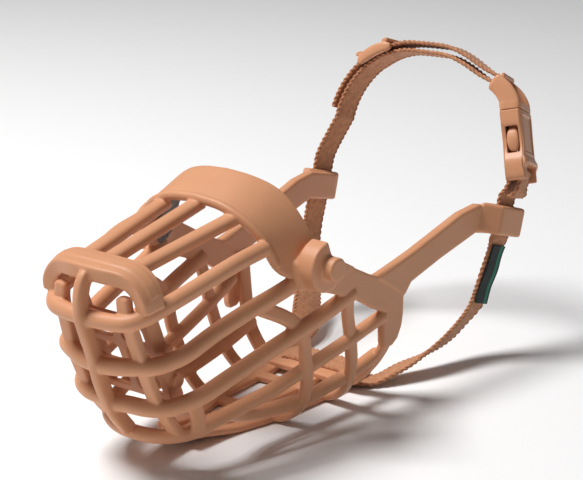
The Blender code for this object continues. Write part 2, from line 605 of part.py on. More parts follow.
def neck_strap_arch(scrap):
    """Both layers between slider and buckle, folded round the plug's bar."""
    rear, up = loop_axes()
    bar = plug_bar_place() - in_loop(0, 0)
    end = (bar.x, bar.dot(up))
    aside = rear * bar.dot(rear)
    middle_radius = ARC_RADIUS + LAYER_STEP / 2
    start = [(ARC_CENTRE[0] + middle_radius * math.cos(math.radians(a)),
              ARC_CENTRE[1] + middle_radius * math.sin(math.radians(a))) for a in (101, 95)]
    guide = start + [(-4, 73.8), (7, 73.6), (17, 70.8), (28, 66.0), end]
    flat = [Vector((x, s, 0)) for x, s in guide]
    line = smooth(flat, 3)
    inner = []
    outer = []
    for i, point in enumerate(line):
        along = (line[min(i + 1, len(line) - 1)] - line[max(i - 1, 0)]).normalized()
        normal = Vector((-along.y, along.x, 0)) * LAYER_STEP / 2
        outer.append(point + normal)
        inner.append(point - normal)
    along = (line[-1] - line[-2]).normalized()
    turn = [line[-1] + along * LAYER_STEP / 2 * math.sin(math.radians(a))
            - Vector((-along.y, along.x, 0)) * LAYER_STEP / 2 * math.cos(math.radians(a))
            for a in (36, 72, 108, 144)]
    route = inner + turn + list(reversed(outer))
    wide = buckle_matrix().to_3x3() @ Vector((0, 1, 0))
    count = len(inner)
    share = [max(0.0, min(1.0, (i - count * 0.5) / (count * 0.45))) for i in range(count)]
    parts = share + [1.0] * len(turn) + list(reversed(share))
    across = [rear * (1 - part) + wide * part for part in parts]
    places = [in_loop(p.x, p.y) + aside * part for p, part in zip(route, parts)]
    return ribbon("arch", places, across, WEB_WIDTH - 2 * GAP, WEB_THICK, scrap)


def neck_strap_right(scrap):
    """Webbing up from the right slot, round the socket's bar and back down."""
    rear = loop_axes()[0]
    frame = buckle_matrix()
    radius = (WEB_BAR_THICK + WEB_THICK) / 2 + 3 * GAP
    fold = []
    for angle in (math.radians(a) for a in range(0, 181, 36)):
        fold.append(frame @ Vector((-radius * math.cos(angle), 0,
                                    WEB_BAR_THICK / 2 + radius * math.sin(angle))))
    rise = [in_loop(SLOT_X[1], SWING_S + GAP), in_loop(SLOT_X[1] + 0.2, SWING_S + 2.8),
            in_loop(SLOT_X[1] + 1.0, 14.5)]
    back = [in_loop(SLOT_X[1] + 6.6, 17.5), in_loop(SLOT_X[1] + 5.4, SWING_S + 4.6)]
    wide = frame.to_3x3() @ Vector((0, 1, 0))
    path = rise + fold + back
    across = [rear, rear, wide] + [wide] * (len(fold) + 1) + [rear * 0.4 + wide * 0.6]
    widths = end_widths(3) + [WEB_WIDTH - 3 * GAP] * (len(fold) + 2)
    return ribbon("neck_right", path, across, widths, WEB_THICK, scrap)


def slider(scrap):
    """Tri-glide: two side bars, two end bars over the webbing and a bar between its layers."""
    length, wide = SLIDER_SIZE
    inner_face = ARC_RADIUS + WEB_THICK / 2
    outer_face = inner_face + LAYER_STEP
    middle = ((inner_face + outer_face - WEB_THICK) / 2, 1.2)
    end_low = outer_face + 0.1
    end_high = end_low + 1.7
    side_low = inner_face - 0.2
    side_wide = (wide - WEB_WIDTH) / 2 - GAP
    bars = [box("middle_bar", (middle[1], wide - 1, 3.2), (middle[0], 0, 0), scrap)]
    for end in (1, -1):
        bars.append(box("end_bar", (end_high - end_low, wide - 1, 2.8),
                        ((end_high + end_low) / 2, 0, end * (length / 2 - 1.4)), scrap))
        bars.append(box("side_bar", (end_high - side_low, side_wide, length),
                        ((end_high + side_low) / 2, end * (wide - side_wide) / 2, 0), scrap))
    joined = combine(bars[0], bars[1:], "UNION", scrap)
    angle = math.radians(SLIDER_ANGLE)
    rear, up = loop_axes()
    out = Vector((math.cos(angle), 0, 0)) + up * math.sin(angle)
    along = Vector((math.sin(angle), 0, 0)) - up * math.cos(angle)
    matrix = Matrix((out, rear, out.cross(rear))).transposed().to_4x4()
    matrix.translation = in_loop(*ARC_CENTRE)
    return placed(joined, matrix)


def buckle_socket(scrap):
    """Female half: a flat sleeve with side windows and a webbing bar at its foot."""
    thick, wide, tall = SOCKET_SIZE[1], SOCKET_SIZE[0], SOCKET_SIZE[2]
    wall = SOCKET_WALL
    body = box("body", (thick, wide, tall), (0, 0, tall / 2), scrap)
    hollow = tall - SOCKET_FOOT
    cuts = [box("cavity", (thick - 2 * wall, wide - 2 * wall, hollow + 1),
                (0, 0, SOCKET_FOOT + (hollow + 1) / 2), scrap),
            box("windows", (thick - 2 * wall - 1, wide + 2, hollow - 7),
                (0, 0, SOCKET_FOOT + 2.5 + (hollow - 7) / 2), scrap),
            box("web_slot", (thick + 2, WEB_WIDTH + 0.9, 4.6), (0, 0, WEB_BAR_THICK + 2.3), scrap)]
    rest = (thick - WEB_BAR_THICK) / 2
    for side in (1, -1):
        cuts.append(box("bar_side", (rest + 1, WEB_WIDTH + 0.9, 4.4),
                        (side * (WEB_BAR_THICK + rest + 1) / 2, 0, 1.2), scrap))
    return placed(combine(body, cuts, "DIFFERENCE", scrap), buckle_matrix())


def buckle_plug(scrap):
    """Male half without its prongs: centre tongue, shoulder and bent end with the webbing bar."""
    thick, wide, tall = SOCKET_SIZE[1], SOCKET_SIZE[0], SOCKET_SIZE[2]
    shoulder_tall = PLUG_SHOULDER + 1.2
    shoulder = box("shoulder", (thick, wide, shoulder_tall), (0, 0, tall + GAP + shoulder_tall / 2), scrap)
    tongue = box("tongue", (4.4, 5.2, 19), (0, 0, tall - 8), scrap)
    head = box("head", (thick * 0.72, wide - 1.0, PLUG_HEAD), (-0.4, 0, PLUG_HEAD / 2), scrap)
    opening = PLUG_HEAD - PLUG_BAR[1] - 2.5
    window = box("window", (thick + 4, WEB_WIDTH + 1.8, opening), (0, 0, 2.5 + opening / 2), scrap)
    thin = [box("thin", (4, WEB_WIDTH + 1.8, 4), (side * (2 + PLUG_BAR[0] / 2), 0, PLUG_HEAD - 1), scrap)
            for side in (1, -1)]
    for piece in [head, window] + thin:
        placed(piece, plug_bend())
    joined = combine(shoulder, [tongue, head], "UNION", scrap)
    joined = combine(joined, [window] + thin, "DIFFERENCE", scrap)
    return placed(joined, buckle_matrix())


def buckle_prong(side, scrap):
    """One springy prong with its thumb pad, hinged where it meets the plug."""
    length = PRONG_ROOT_Z - PRONG_TIP_Z
    arm = box("arm", (4.2, PRONG_THICK, length), (0, side * PRONG_Y, PRONG_TIP_Z + length / 2), scrap)
    out, tall = PRONG_PAD
    pad = box("pad", (4.2, out, tall), (0, side * (PRONG_Y + out / 2), PRONG_TIP_Z + tall / 2), scrap)
    return placed(combine(arm, [pad], "UNION", scrap), buckle_matrix())


def label(path_points, scrap):
    """Woven label laid against the outer face of the right chin strap."""
    tall = LABEL_SIZE[1]
    (high, across), (low, _) = path_points[0], path_points[2]
    high = Vector(high)
    low = Vector(low)
    along = (high - low).normalized()
    wide = (Vector(across) - along * along.dot(Vector(across))).normalized()
    out = wide.cross(along)
    matrix = Matrix((out, wide, along)).transposed().to_4x4()
    matrix.translation = (high + low) / 2 + out * (WEB_THICK / 2 + LABEL_SIZE[2] / 2 + 2 * GAP)
    return placed(box("label", (LABEL_SIZE[2], LABEL_SIZE[0], tall), (0, 0, 0), scrap), matrix)


def finish(thing, name, look, group, origin=None):
    """Name a baked solid, give it its material and put its origin on a joint axis."""
    tidy(thing)
    thing.name = name
    thing.data.name = name
    thing.data.materials.clear()
    thing.data.materials.append(look)
    for holder in list(thing.users_collection):
        holder.objects.unlink(thing)
    group.objects.link(thing)
    if origin is not None:
        shift = Vector(origin) * MM
        thing.data.transform(Matrix.Translation(-shift))
        thing.location = shift
    return thing


def main():
    clear_scene()
    scrap = bpy.data.collections.new("scrap")
    group = bpy.data.collections.new("basket_muzzle")
    bpy.context.scene.collection.children.link(scrap)
    bpy.context.scene.collection.children.link(group)
    plastic = material("basket_plastic", TAN, 0.5)
    fittings = material("fitting_plastic", TAN, 0.42)
    web = material("webbing", TAN_WEB, 0.9)
    felt = material("felt", FELT_GREY, 1.0)
    woven = material("woven_label", LABEL_BLACK, 0.85)

    whole = basket_moulding(scrap)
    for name, (outline, low, high) in REGIONS.items():
        if name == "top_bar":
            split = TOP_BAR_SPLIT
            spans = {"left": (-high, -split), "centre": (GAP - split, split - GAP), "right": (split, high)}
        elif low == 0:
            spans = {"": (-high, high)}
        else:
            spans = {"left": (-high, -low), "right": (low, high)}
        for which, (start, stop) in spans.items():
            full_name = f"{name}_{which}" if which else name
            cut = region(whole, full_name, outline, start, stop, scrap)
            finish(largest_body(cut), full_name, plastic, group)
    bpy.data.objects.remove(whole, do_unlink=True)

    last_stud = len(felt_path()[0]) - 2
    finish(inner_guard(scrap), "inner_guard", plastic, group)
    finish(felt_pad(scrap), "felt_pad", felt, group)
    finish(felt_stud(1, scrap), "felt_stud_left", plastic, group)
    finish(felt_stud(last_stud, scrap), "felt_stud_right", plastic, group)
    finish(chin_strap(1, CHIN_RUN[1], scrap), "chin_strap_right", web, group)
    finish(chin_strap(-1, CHIN_RUN[-1], scrap), "chin_strap_left", web, group)
    finish(label(CHIN_RUN[1], scrap), "strap_label", woven, group)

    swing = in_loop(0, SWING_S)
    finish(neck_strap_left(scrap), "neck_strap_left", web, group, swing)
    finish(neck_strap_right(scrap), "neck_strap_right", web, group, swing)
    finish(neck_strap_arch(scrap), "neck_strap_arch", web, group, swing)
    finish(strap_tail(scrap), "strap_tail", web, group, swing)
    finish(slider(scrap), "slider", fittings, group, in_loop(*ARC_CENTRE))
    frame = buckle_matrix()
    finish(buckle_socket(scrap), "buckle_socket", fittings, group, frame.translation)
    finish(buckle_plug(scrap), "buckle_plug", fittings, group, frame @ Vector((0, 0, SOCKET_SIZE[2])))
    for side, name in ((-1, "prong_front"), (1, "prong_rear")):
        root = frame @ Vector((0, side * PRONG_Y, PRONG_ROOT_Z - 0.2))
        finish(buckle_prong(side, scrap), name, fittings, group, root)
    bpy.data.collections.remove(scrap)


main()
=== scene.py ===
"""Looks of a moulded dog muzzle: basket, guard, felt pad, webbing, slider and side release buckle.

Lengths in the tables are in millimetres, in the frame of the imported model; meshes are made in metres.
The nose points to -Y and +Z is up. A path of a mirrored piece runs from the mirror plane to the right.
"""
import math

import bmesh
import bpy
import numpy as np
from mathutils import Matrix, Vector


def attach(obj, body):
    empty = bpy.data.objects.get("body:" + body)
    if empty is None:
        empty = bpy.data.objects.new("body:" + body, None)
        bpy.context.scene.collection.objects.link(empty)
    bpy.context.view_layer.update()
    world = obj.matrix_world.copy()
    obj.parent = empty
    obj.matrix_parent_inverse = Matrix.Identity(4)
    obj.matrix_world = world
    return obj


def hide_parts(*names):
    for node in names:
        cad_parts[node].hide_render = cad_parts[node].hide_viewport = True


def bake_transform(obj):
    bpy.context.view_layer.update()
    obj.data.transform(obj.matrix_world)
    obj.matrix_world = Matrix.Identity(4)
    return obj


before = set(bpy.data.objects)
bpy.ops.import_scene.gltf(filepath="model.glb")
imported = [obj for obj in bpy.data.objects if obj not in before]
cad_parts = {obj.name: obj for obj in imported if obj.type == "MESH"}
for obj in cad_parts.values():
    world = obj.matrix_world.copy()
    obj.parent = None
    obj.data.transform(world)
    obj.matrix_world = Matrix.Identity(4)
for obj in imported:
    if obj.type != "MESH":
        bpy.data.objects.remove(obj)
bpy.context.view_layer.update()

MM = 0.001

# --- camera ---
CAMERA_PLACE = (461.0, -603.0, 306.4)
CAMERA_TARGET = (0.0, 0.0, 70.0)
CAMERA_LENS = 111.15
SENSOR_WIDTH = 36.0

# --- basket ---
VOXEL = 0.45
BAR_RADII = (3.5, 3.6, 3.6, 3.1)
BAR_PLANE = (0.0, -0.274, 0.962)      # the round bars lie in planes with about this normal
# sections: width, height and how square they are
CENTRE_BAR = (4.6, 6.6, 3.4)
SIDE_BAR = (6.2, 4.4, 4.5)
OUTER_BAR = (6.4, 3.0, 4.0)
KEEL = (6.2, 6.2, 2.0)
TOP_BAR = (7.4, 5.6, 2.4)
HOOP = (6.6, 3.6, 3.4)
RIM = (8.0, 3.4, 3.4)
EDGE_STRIP = (6.4, 3.2, 4.0)
MIDDLE_STRIP = (14, 3.0, 6.0)
BAND_LIP = (3.4, 4.0, 2.2)
NOSE_BARS = [
    [(0, -131, 71.2), (10.7, -130, 71.3), (19, -128, 71.9), (24, -122, 74), (25.8, -115, 76),
     (27.8, -103, 79), (30.3, -88, 83), (32.2, -76, 86), (33.4, -61, 88)],
    [(0, -125, 50), (8, -124.5, 50.5), (17, -121.5, 51.5), (23, -118, 52), (26, -113, 52.9),
     (29, -105, 54.9), (31, -91, 59.5), (33.7, -72, 64.5), (35.8, -58, 67.5), (39, -42, 72)],
    [(0, -117, 31.5), (7, -115.5, 31.5), (15.5, -114, 31.5), (23, -110, 32), (27.5, -104, 33.5),
     (30.5, -96, 35.5), (32.7, -84, 39), (35.2, -65, 43.8), (38, -46, 48.5), (40, -31, 52.5),
     (41.6, -12, 57.5)],
    [(0, -106.2, 15), (6, -105.5, 14.9), (13, -103.2, 15.1), (19.8, -98.7, 16), (24, -92, 17.5),
     (27, -83, 20), (30, -69, 22.4), (32.6, -56, 24.8), (34.8, -40.5, 28), (36.8, -26.5, 31.2),
     (39, -12, 34.8), (42.4, 10, 41)],
]
KEEL_BAR = [(27.6, -79, 20.5), (27, -64, 15.5), (29.4, -46, 13.5), (31.5, -31, 13), (34, -3, 16),
            (35.5, 16, 20)]
FRONT_CENTRE_BAR = [(0, -125, 88.4), (0, -130.2, 87.4), (0, -132.6, 83.2), (0, -133.4, 77),
                    (0, -132.6, 70), (0, -127, 54), (0, -123.6, 42), (0, -117, 28), (0, -108.5, 17)]
FRONT_SIDE_BAR = [(16.3, -126.4, 80.2), (16.8, -126.2, 74.5), (17.6, -124, 66.5), (18.5, -119.3, 51.5),
                  (18.5, -113.5, 37.5), (18.7, -108, 28), (18.5, -102, 20), (18.3, -97, 15)]
FRONT_OUTER_BAR = [(27, -99.5, 33), (27.2, -97.5, 26), (25.6, -95, 19.5), (23.2, -93.5, 16.5)]
FRONT_HOOP = [(34, -66, 64), (36.4, -50, 55), (37.6, -41.5, 46), (37.2, -39, 34), (35.6, -36, 22),
              (31, -34.5, 10), (22.5, -34, 2.9), (12, -34, 1.75), (0, -34, 1.75)]
REAR_HOOP = [(41.4, -15, 58), (39.8, -12.5, 47), (39.4, -10, 36), (37.6, -6.5, 22), (33, -4, 10),
             (24.5, -2, 2.9), (12, -1, 1.75), (0, -1, 1.75)]
REAR_RIM = [(42.6, 18, 52), (42.2, 18.6, 40), (40, 17.4, 28), (36, 15, 18), (30, 14, 10), (24, 14, 4.6),
            (12, 14, 4.3), (0, 14, 4.3)]
FLOOR_STRIP = [(0, -103, 12.6), (0, -97, 9.8), (0, -86, 5.8), (0, -73, 2.9), (0, -60, 1.5), (0, 14, 1.5)]
FLOOR_EDGE = [(7, -80, 6.6), (9, -66, 3.6), (11.5, -53, 1.6), (16.5, -32, 1.6), (19, -2, 1.6), (20, 15, 1.6)]
CHIN_PLATE = [(0, 9.5), (21, 9.5), (23.5, 12), (23.5, 20), (22.5, 31), (20, 33.5), (0, 33.5)]
CHIN_PLATE_HEIGHT = (2.7, 5.5)
CHIN_SLOT = (16.0, 23.5)

CAP_FRONT = [(0, -131.4, 92.4), (8, -131, 92.3), (16, -129.4, 91.4), (21, -128.4, 89), (24.8, -127.8, 85),
             (27.2, -127.2, 80.4), (27.6, -126.4, 76)]
CAP_REAR = [(0, -117, 94.2), (8, -117, 94.1), (16, -117, 93.6), (21, -117, 92), (25.4, -117, 88.6),
            (28, -117, 84), (29.2, -117, 78)]
CAP_THICK = 6.8
CAP_STRIP = (0.36, 0.74, 0.5)        # raised strip: where it starts and ends across the cap, and its height
BAND_FRONT = [(0, -66, 105.2), (12, -66, 104.2), (20, -65.5, 101.6), (27, -64, 97), (32.5, -61.5, 90),
              (36, -58.5, 80.5), (38.6, -54, 75), (40.2, -46, 71.5)]
BAND_REAR = [(0, -44, 113), (12, -43.5, 112), (22, -41.5, 109), (29, -40, 104.4), (35, -39, 97.6),
             (39.5, -37.5, 89.5), (41.5, -36, 81), (42.5, -35, 73)]
BAND_THICK = 4.0
LIP_SHIFT = (0, 1.5, -1.1)            # from the band's front edge to the middle of its lip
SHELL_CENTRE_Z = 66.0               # a shell faces away from the middle line at this height
TOP_BARS = {-1: [(-13, -119.5, 88.4), (-18.7, -62, 98.4)], 0: [(0, -119.5, 90.2), (0, -62, 101.6)],
            1: [(13, -119.5, 88.4), (18.7, -62, 98.4)]}

CHEEK_Y = -40.0
CHEEK_X = 40.8
SPLAY = {1: 2.2, -1: 4.4}
PLATE_HALF = 1.9
ARM_HALF = 2.5
PLATE_OUTLINE = [(-50, 68.5), (-50, 80), (-40, 86), (-31, 81.5), (-26.5, 77), (-11.5, 68.5), (-1, 63),
                 (3, 61.6), (20, 64.5), (30, 61), (25, 50.7), (23, 47), (22.9, 39), (21.8, 33.5), (19, 28.5),
                 (15, 26), (9.5, 26), (8.2, 29), (8, 39.5), (9.5, 43), (1.6, 46.6), (-12, 55), (-34, 63.8)]
ARM_OUTLINE = [(1, 61.2), (5, 61.4), (30, 66.4), (66, 75.2), (80, 76.2), (103, 70.0), (101, 57), (78, 63),
               (50, 57.5), (28, 52.2), (23, 47)]
BOSS_CENTRE = (-39.2, 77.3)
BOSS_RADIUS = 10.8
BOSS_HEIGHT = 7.0
BOSS_TOP = [(-39.6, 88.7), (-35.6, 78.6), (-31.2, 72.5)]       # the flats that follow the round side
TAIL_OUTLINE = [(-46, 84), (-38, 84), (-34, 81.5), (-26.6, 77), (-14.6, 70.1), (-28, 65.5), (-40, 66)]
TAIL_HEIGHT = 1.6
PIN_RADIUS = 5.0
PIN_HEIGHT = 5.0
BLOCK_CENTRE = (96.2, 65.5)
BLOCK_TALL = 13.8
BLOCK_PLAN = [(-0.4, -10.8), (1.6, -16.5), (3.2, -15.8), (9.2, -9.2), (9.6, -8.0), (9.6, 10.8), (-0.4, 10.8)]
BLOCK_PITCH = 17.0
SLOT_SIZE = (3.6, 16.6)
SLOT_X = {1: 50.3, -1: -55.6}

# --- inner guard and felt ---
GUARD_SIZE = (38.0, 42.0, 2.2)
GUARD_PLACE = (0.0, -109.0, 50.0)
GUARD_PITCH = 22.0
GUARD_WINDOW = (12.6, 9.2)
GUARD_FLANGE = 7.0
GUARD_KNOB = (3.0, 2.6)
FELT_WIDTH = 15.0
FELT_THICK = 3.0

# --- strap loop: X and the height s in the plane of the loop ---
WEB_WIDTH = 15.0
WEB_THICK = 1.6
WEB_STEP = 0.45
CORD_RADIUS = 0.62
CORD_PITCH = 5.4
CORD_SWAY = (0.42, 0.45)     # how far a cord wanders across the edge and through the thickness
ARC_CENTRE = (-9.5, 33.5)
ARC_RADIUS = 38.4
LAYER_STEP = 3.6
SEAM_ANGLE = 112.0           # the arch takes over from the left stretch here, under the slider
TAIL_END = 173.0
SLIDER_ANGLE = 122.0
SLIDER_LENGTH = 19.5
SLIDER_WIDTH = 24.0
SLIDER_END_BAR = (0.6, 1.8)  # its lift over the outer layer, and its inset from the end
BUCKLE_BASE = (55.8, 21.5)
BUCKLE_LEAN = 17.8
BUCKLE_TWIST = 14.0
PLUG_BEND = 20.0
PLUG_BAR_HEIGHT = 12.9
SOCKET_TOP = 30.0
# half width of the socket at heights above its foot
SOCKET_OUTLINE = [(9.4, -2.6), (11.2, -1.2), (11.8, 3.0), (11.6, 6.5), (10.4, 9.8), (9.5, 13.0), (9.4, 17.0),
                  (10.2, 20.5), (11.3, 24.0), (11.5, 30.0)]
SOCKET_HALF_THICK = 5.3
FLARE = (5.5, 3.5, 1.1)      # ledge over the foot: its height, its reach up and down, and how far out
PANEL_HALF_WIDTH = 7.6
PANEL_HEIGHTS = (10.2, 27.6)
PANEL_DEPTH = 0.55
PANEL_FRAME = (0.9, 0.18)    # width and height of the bead round the panel
BUCKLE_BAR_Z = 1.1
CHIN_RUN = {
    1: [((49.1, 93, 52.4), (-0.1, 0.94, -0.33)), ((47.4, 88.5, 40.1), (-0.1, 0.94, -0.33)),
        ((45.9, 84.4, 29), (-0.1, 0.94, -0.33)), ((43.6, 77, 21), (-0.35, 0.74, -0.55)),
        ((41.6, 67, 15), (-0.45, 0.6, -0.62)), ((38.6, 54, 10.4), (-0.6, 0.6, -0.5)),
        ((33.5, 40, 6), (-0.68, 0.72, -0.15)), ((28.5, 28.5, 2.4), (-0.35, 0.93, 0))],
    -1: [((57.2, 92.3, 45), (0, 0.96, -0.29)), ((54.4, 86.5, 32), (0, 0.95, -0.3)),
         ((48, 77, 21), (-0.25, 0.87, -0.4)), ((40.5, 66, 13.6), (-0.45, 0.76, -0.4)),
         ((33, 54, 8), (-0.6, 0.76, -0.15)), ((29.8, 41, 4.1), (-0.62, 0.78, 0)),
         ((28, 28, 1.9), (-0.35, 0.93, 0))],
}
CHIN_TUCK = (4.0, 0.66, 0.22)        # how much the webbing narrows, where along it, and over what share
LABEL_SIZE = (13.0, 28.5, 0.7)


def smooth(points, steps=6):
    """Catmull-Rom curve through the points."""
    known = [Vector(p) for p in points]
    ends = [known[0] * 2 - known[1]] + known + [known[-1] * 2 - known[-2]]
    curve = []
    for i in range(1, len(ends) - 2):
        a, b, c, d = ends[i - 1:i + 3]
        for k in range(steps):
            t = k / steps
            curve.append(0.5 * (2 * b + (c - a) * t + (2 * a - 5 * b + 4 * c - d) * t * t
                                + (3 * b - a - 3 * c + d) * t ** 3))
    curve.append(known[-1])
    return curve


def mirrored(points):
    """Whole path of a bar that is given from the mirror plane to its right end."""
    left = [Vector((-p[0], p[1], p[2])) for p in reversed(points)]
    return left[:-1] + [Vector(p) for p in points]


def sided(points, side):
    """The points on the right or the left of the mirror plane."""
    return [(side * p[0], p[1], p[2]) for p in points]


def rounded_section(wide, tall, power=4.0, count=20):
    """Superellipse section: power 2 is an ellipse, more is squarer."""
    section = []
    for k in range(count):
        angle = 2 * math.pi * (k + 0.5) / count
        c, s = math.cos(angle), math.sin(angle)
        section.append((math.copysign(abs(c) ** (2 / power), c) * wide / 2,
                        math.copysign(abs(s) ** (2 / power), s) * tall / 2))
    return section


def sweep(path, across, section, scales=None):
    """Closed solid: the section carried along the path, its first direction along across."""
    count = len(path)
    sides = across if isinstance(across, list) else [across] * count
    verts = []
    for i, point in enumerate(path):
        along = (path[min(i + 1, count - 1)] - path[max(i - 1, 0)]).normalized()
        side = Vector(sides[i])
        side = (side - along * along.dot(side)).normalized()
        normal = side.cross(along)
        grow = scales[i] if scales else 1.0
        verts += [point + side * (a * grow) + normal * (b * grow) for a, b in section]
    ring = len(section)
    faces = []
    for i in range(count - 1):
        for k in range(ring):
            n = (k + 1) % ring
            faces.append((i * ring + k, i * ring + n, (i + 1) * ring + n, (i + 1) * ring + k))
    faces.append(tuple(reversed(range(ring))))
    faces.append(tuple(range((count - 1) * ring, count * ring)))
    return verts, faces


def domed(path, radius, steps=4):
    """Path with its ends drawn out by small steps, and the scale of each step, for a rounded end."""
    first = (path[0] - path[1]).normalized()
    last = (path[-1] - path[-2]).normalized()
    angles = [math.radians(90 * k / steps) for k in range(1, steps + 1)]
    head = [(path[0] + first * radius * math.sin(a), max(0.05, math.cos(a))) for a in reversed(angles)]
    tail = [(path[-1] + last * radius * math.sin(a), max(0.05, math.cos(a))) for a in angles]
    whole = head + [(p, 1.0) for p in path] + tail
    return [p for p, _ in whole], [s for _, s in whole]


def between(first, second):
    """Solid between two matching outlines."""
    count = len(first)
    faces = [tuple(range(count)), tuple(reversed(range(count, 2 * count)))]
    faces += [(k, k + count, (k + 1) % count + count, (k + 1) % count) for k in range(count)]
    return first + second, faces


def prism(outline, low, high):
    """Solid of a (Y, Z) outline between two values of X."""
    return between([Vector((low, a, b)) for a, b in outline], [Vector((high, a, b)) for a, b in outline])


def placed(solid, matrix):
    """A solid moved by a matrix."""
    verts, faces = solid
    return [matrix @ v for v in verts], faces


def rounded_box(size, place, turn=None, power=8.0):
    """Box with soft edges, swept along its own Z."""
    half = size[2] / 2
    path = [Vector((0, 0, z)) for z in (-half, -half * 0.5, 0, half * 0.5, half)]
    solid = sweep(path, Vector((1, 0, 0)), rounded_section(size[0], size[1], power, 24))
    return placed(solid, Matrix.Translation(place) @ (turn or Matrix.Identity(4)))


def drum(centre, radius, low, high, count=40):
    """Round boss along X between two values of X, with its axis at (Y, Z)."""
    path = [Vector((x, *centre)) for x in np.linspace(low, high, 5)]
    section = [(radius * math.cos(2 * math.pi * k / count), radius * math.sin(2 * math.pi * k / count))
               for k in range(count)]
    return sweep(path, Vector((0, 1, 0)), section)


def piece_from(name, solids):
    """One object of several solids."""
    shape = bmesh.new()
    for verts, faces in solids:
        made = [shape.verts.new(Vector(v) * MM) for v in verts]
        for face in faces:
            shape.faces.new([made[k] for k in face])
    bmesh.ops.recalc_face_normals(shape, faces=shape.faces)
    mesh = bpy.data.meshes.new(name)
    shape.to_mesh(mesh)
    shape.free()
    made = bpy.data.objects.new(name, mesh)
    bpy.context.scene.collection.objects.link(made)
    return made


def applied(piece):
    """Replace a piece's mesh by its evaluated mesh and drop its modifiers."""
    depsgraph = bpy.context.evaluated_depsgraph_get()
    mesh = bpy.data.meshes.new_from_object(piece.evaluated_get(depsgraph))
    piece.modifiers.clear()
    piece.data = mesh
    mesh.name = piece.name
    return piece


def carved(piece, cutters):
    """Cut solids out of a piece."""
    for number, cutter in enumerate(cutters):
        tool = piece_from(f"cutter_{number}", [cutter])
        cut = piece.modifiers.new("Cut", "BOOLEAN")
        cut.operation = "DIFFERENCE"
        cut.solver = "EXACT"
        cut.object = tool
        applied(piece)
        bpy.data.objects.remove(tool, do_unlink=True)
    return piece


def fused(piece, voxel, rounds):
    """Melt overlapping solids into one skin with soft fillets."""
    melt = piece.modifiers.new("Melt", "REMESH")
    melt.mode = "VOXEL"
    melt.voxel_size = voxel * MM
    soften = piece.modifiers.new("Soften", "SMOOTH")
    soften.factor = 0.5
    soften.iterations = rounds
    applied(piece)
    piece.data.shade_smooth()
    return piece


def cheek_matrix(side):
    """Place a plate modelled in the plane X = 0 as the right or left cheek."""
    turn = Matrix.Rotation(math.radians(-SPLAY[side] * side), 4, "Z")
    return Matrix.Translation((side * CHEEK_X, CHEEK_Y, 0)) @ turn @ Matrix.Translation((0, -CHEEK_Y, 0))


def softened(solid, radius, angle=30):
    """A solid with its sharp edges rounded to a radius."""
    piece = piece_from("softened", [solid])
    soft = piece.modifiers.new("Soft", "BEVEL")
    soft.width = radius * MM
    soft.segments = 3
    soft.limit_method = "ANGLE"
    soft.angle_limit = math.radians(angle)
    applied(piece)
    verts = [v.co / MM for v in piece.data.vertices]
    faces = [tuple(face.vertices) for face in piece.data.polygons]
    bpy.data.objects.remove(piece, do_unlink=True)
    return verts, faces


def block_solid(side):
    """Slot block at the end of an arm, with its slanted front face."""
    ends = [[Vector((side * x, y, z)) for x, y in BLOCK_PLAN] for z in (-BLOCK_TALL / 2, BLOCK_TALL / 2)]
    return softened(between(*ends), 1.6)


def boss_outline():
    """Round side of the boss, closed by the flats over it."""
    y, z = BOSS_CENTRE
    arc = [(y + BOSS_RADIUS * math.cos(a), z + BOSS_RADIUS * math.sin(a))
           for a in (math.radians(d) for d in range(105, 331, 9))]
    return arc + list(reversed(BOSS_TOP))


def cheek_solids(side):
    """Plate, arm, boss, pin and slot block of one side."""
    out = side * PLATE_HALF
    top = out + side * BOSS_HEIGHT
    pitch = Matrix.Rotation(math.radians(-BLOCK_PITCH), 4, "X")
    tail_top = out + side * TAIL_HEIGHT
    solids = [
        softened(prism(PLATE_OUTLINE, -PLATE_HALF, PLATE_HALF), 0.9, 50),
        softened(prism(ARM_OUTLINE, -ARM_HALF, ARM_HALF), 1.7, 50),
        prism(TAIL_OUTLINE, min(0, tail_top), max(0, tail_top)),
        softened(prism(boss_outline(), min(0, top), max(0, top)), 1.2, 50),
        softened(drum(BOSS_CENTRE, PIN_RADIUS, min(0, top + side * PIN_HEIGHT),
                      max(0, top + side * PIN_HEIGHT)), 0.8, 50),
        placed(block_solid(side), Matrix.Translation((0, *BLOCK_CENTRE)) @ pitch),
    ]
    return [placed(solid, cheek_matrix(side)) for solid in solids]


def shell(front, rear, thick, power):
    """Solid strip between two mirrored edge lines, thickened inwards."""
    first = mirrored(smooth(front, 5))
    second = mirrored(smooth(rear, 5))
    wide = 1.0
    section = rounded_section(wide, thick, power, 28)
    verts = []
    for i, (a, b) in enumerate(zip(first, second)):
        middle = (a + b) / 2
        span = b - a
        before = (first[max(i - 1, 0)] + second[max(i - 1, 0)]) / 2
        after = (first[min(i + 1, len(first) - 1)] + second[min(i + 1, len(first) - 1)]) / 2
        normal = (after - before).cross(span).normalized()
        if normal.dot(middle - Vector((0, middle.y, SHELL_CENTRE_Z))) < 0:
            normal = -normal
        verts += [middle + span * u + normal * (v - thick / 2) for u, v in section]
    ring = len(section)
    rows = len(first)
    faces = [(i * ring + k, i * ring + (k + 1) % ring, (i + 1) * ring + (k + 1) % ring, (i + 1) * ring + k)
             for i in range(rows - 1) for k in range(ring)]
    faces += [tuple(reversed(range(ring))), tuple(range((rows - 1) * ring, rows * ring))]
    return verts, faces


def cap_strip():
    """Low raised strip that runs over the cap and ends square on each leg."""
    start, end, height = CAP_STRIP
    fronts = [Vector(p) for p in CAP_FRONT[:-1]]
    rears = [Vector(p) for p in CAP_REAR[:-1]]
    low = [a + (b - a) * start for a, b in zip(fronts, rears)]
    high = [a + (b - a) * end for a, b in zip(fronts, rears)]
    verts, faces = shell(low, high, 4.0, 16.0)
    return [v + (v - Vector((0, v.y, SHELL_CENTRE_Z))).normalized() * height for v in verts], faces


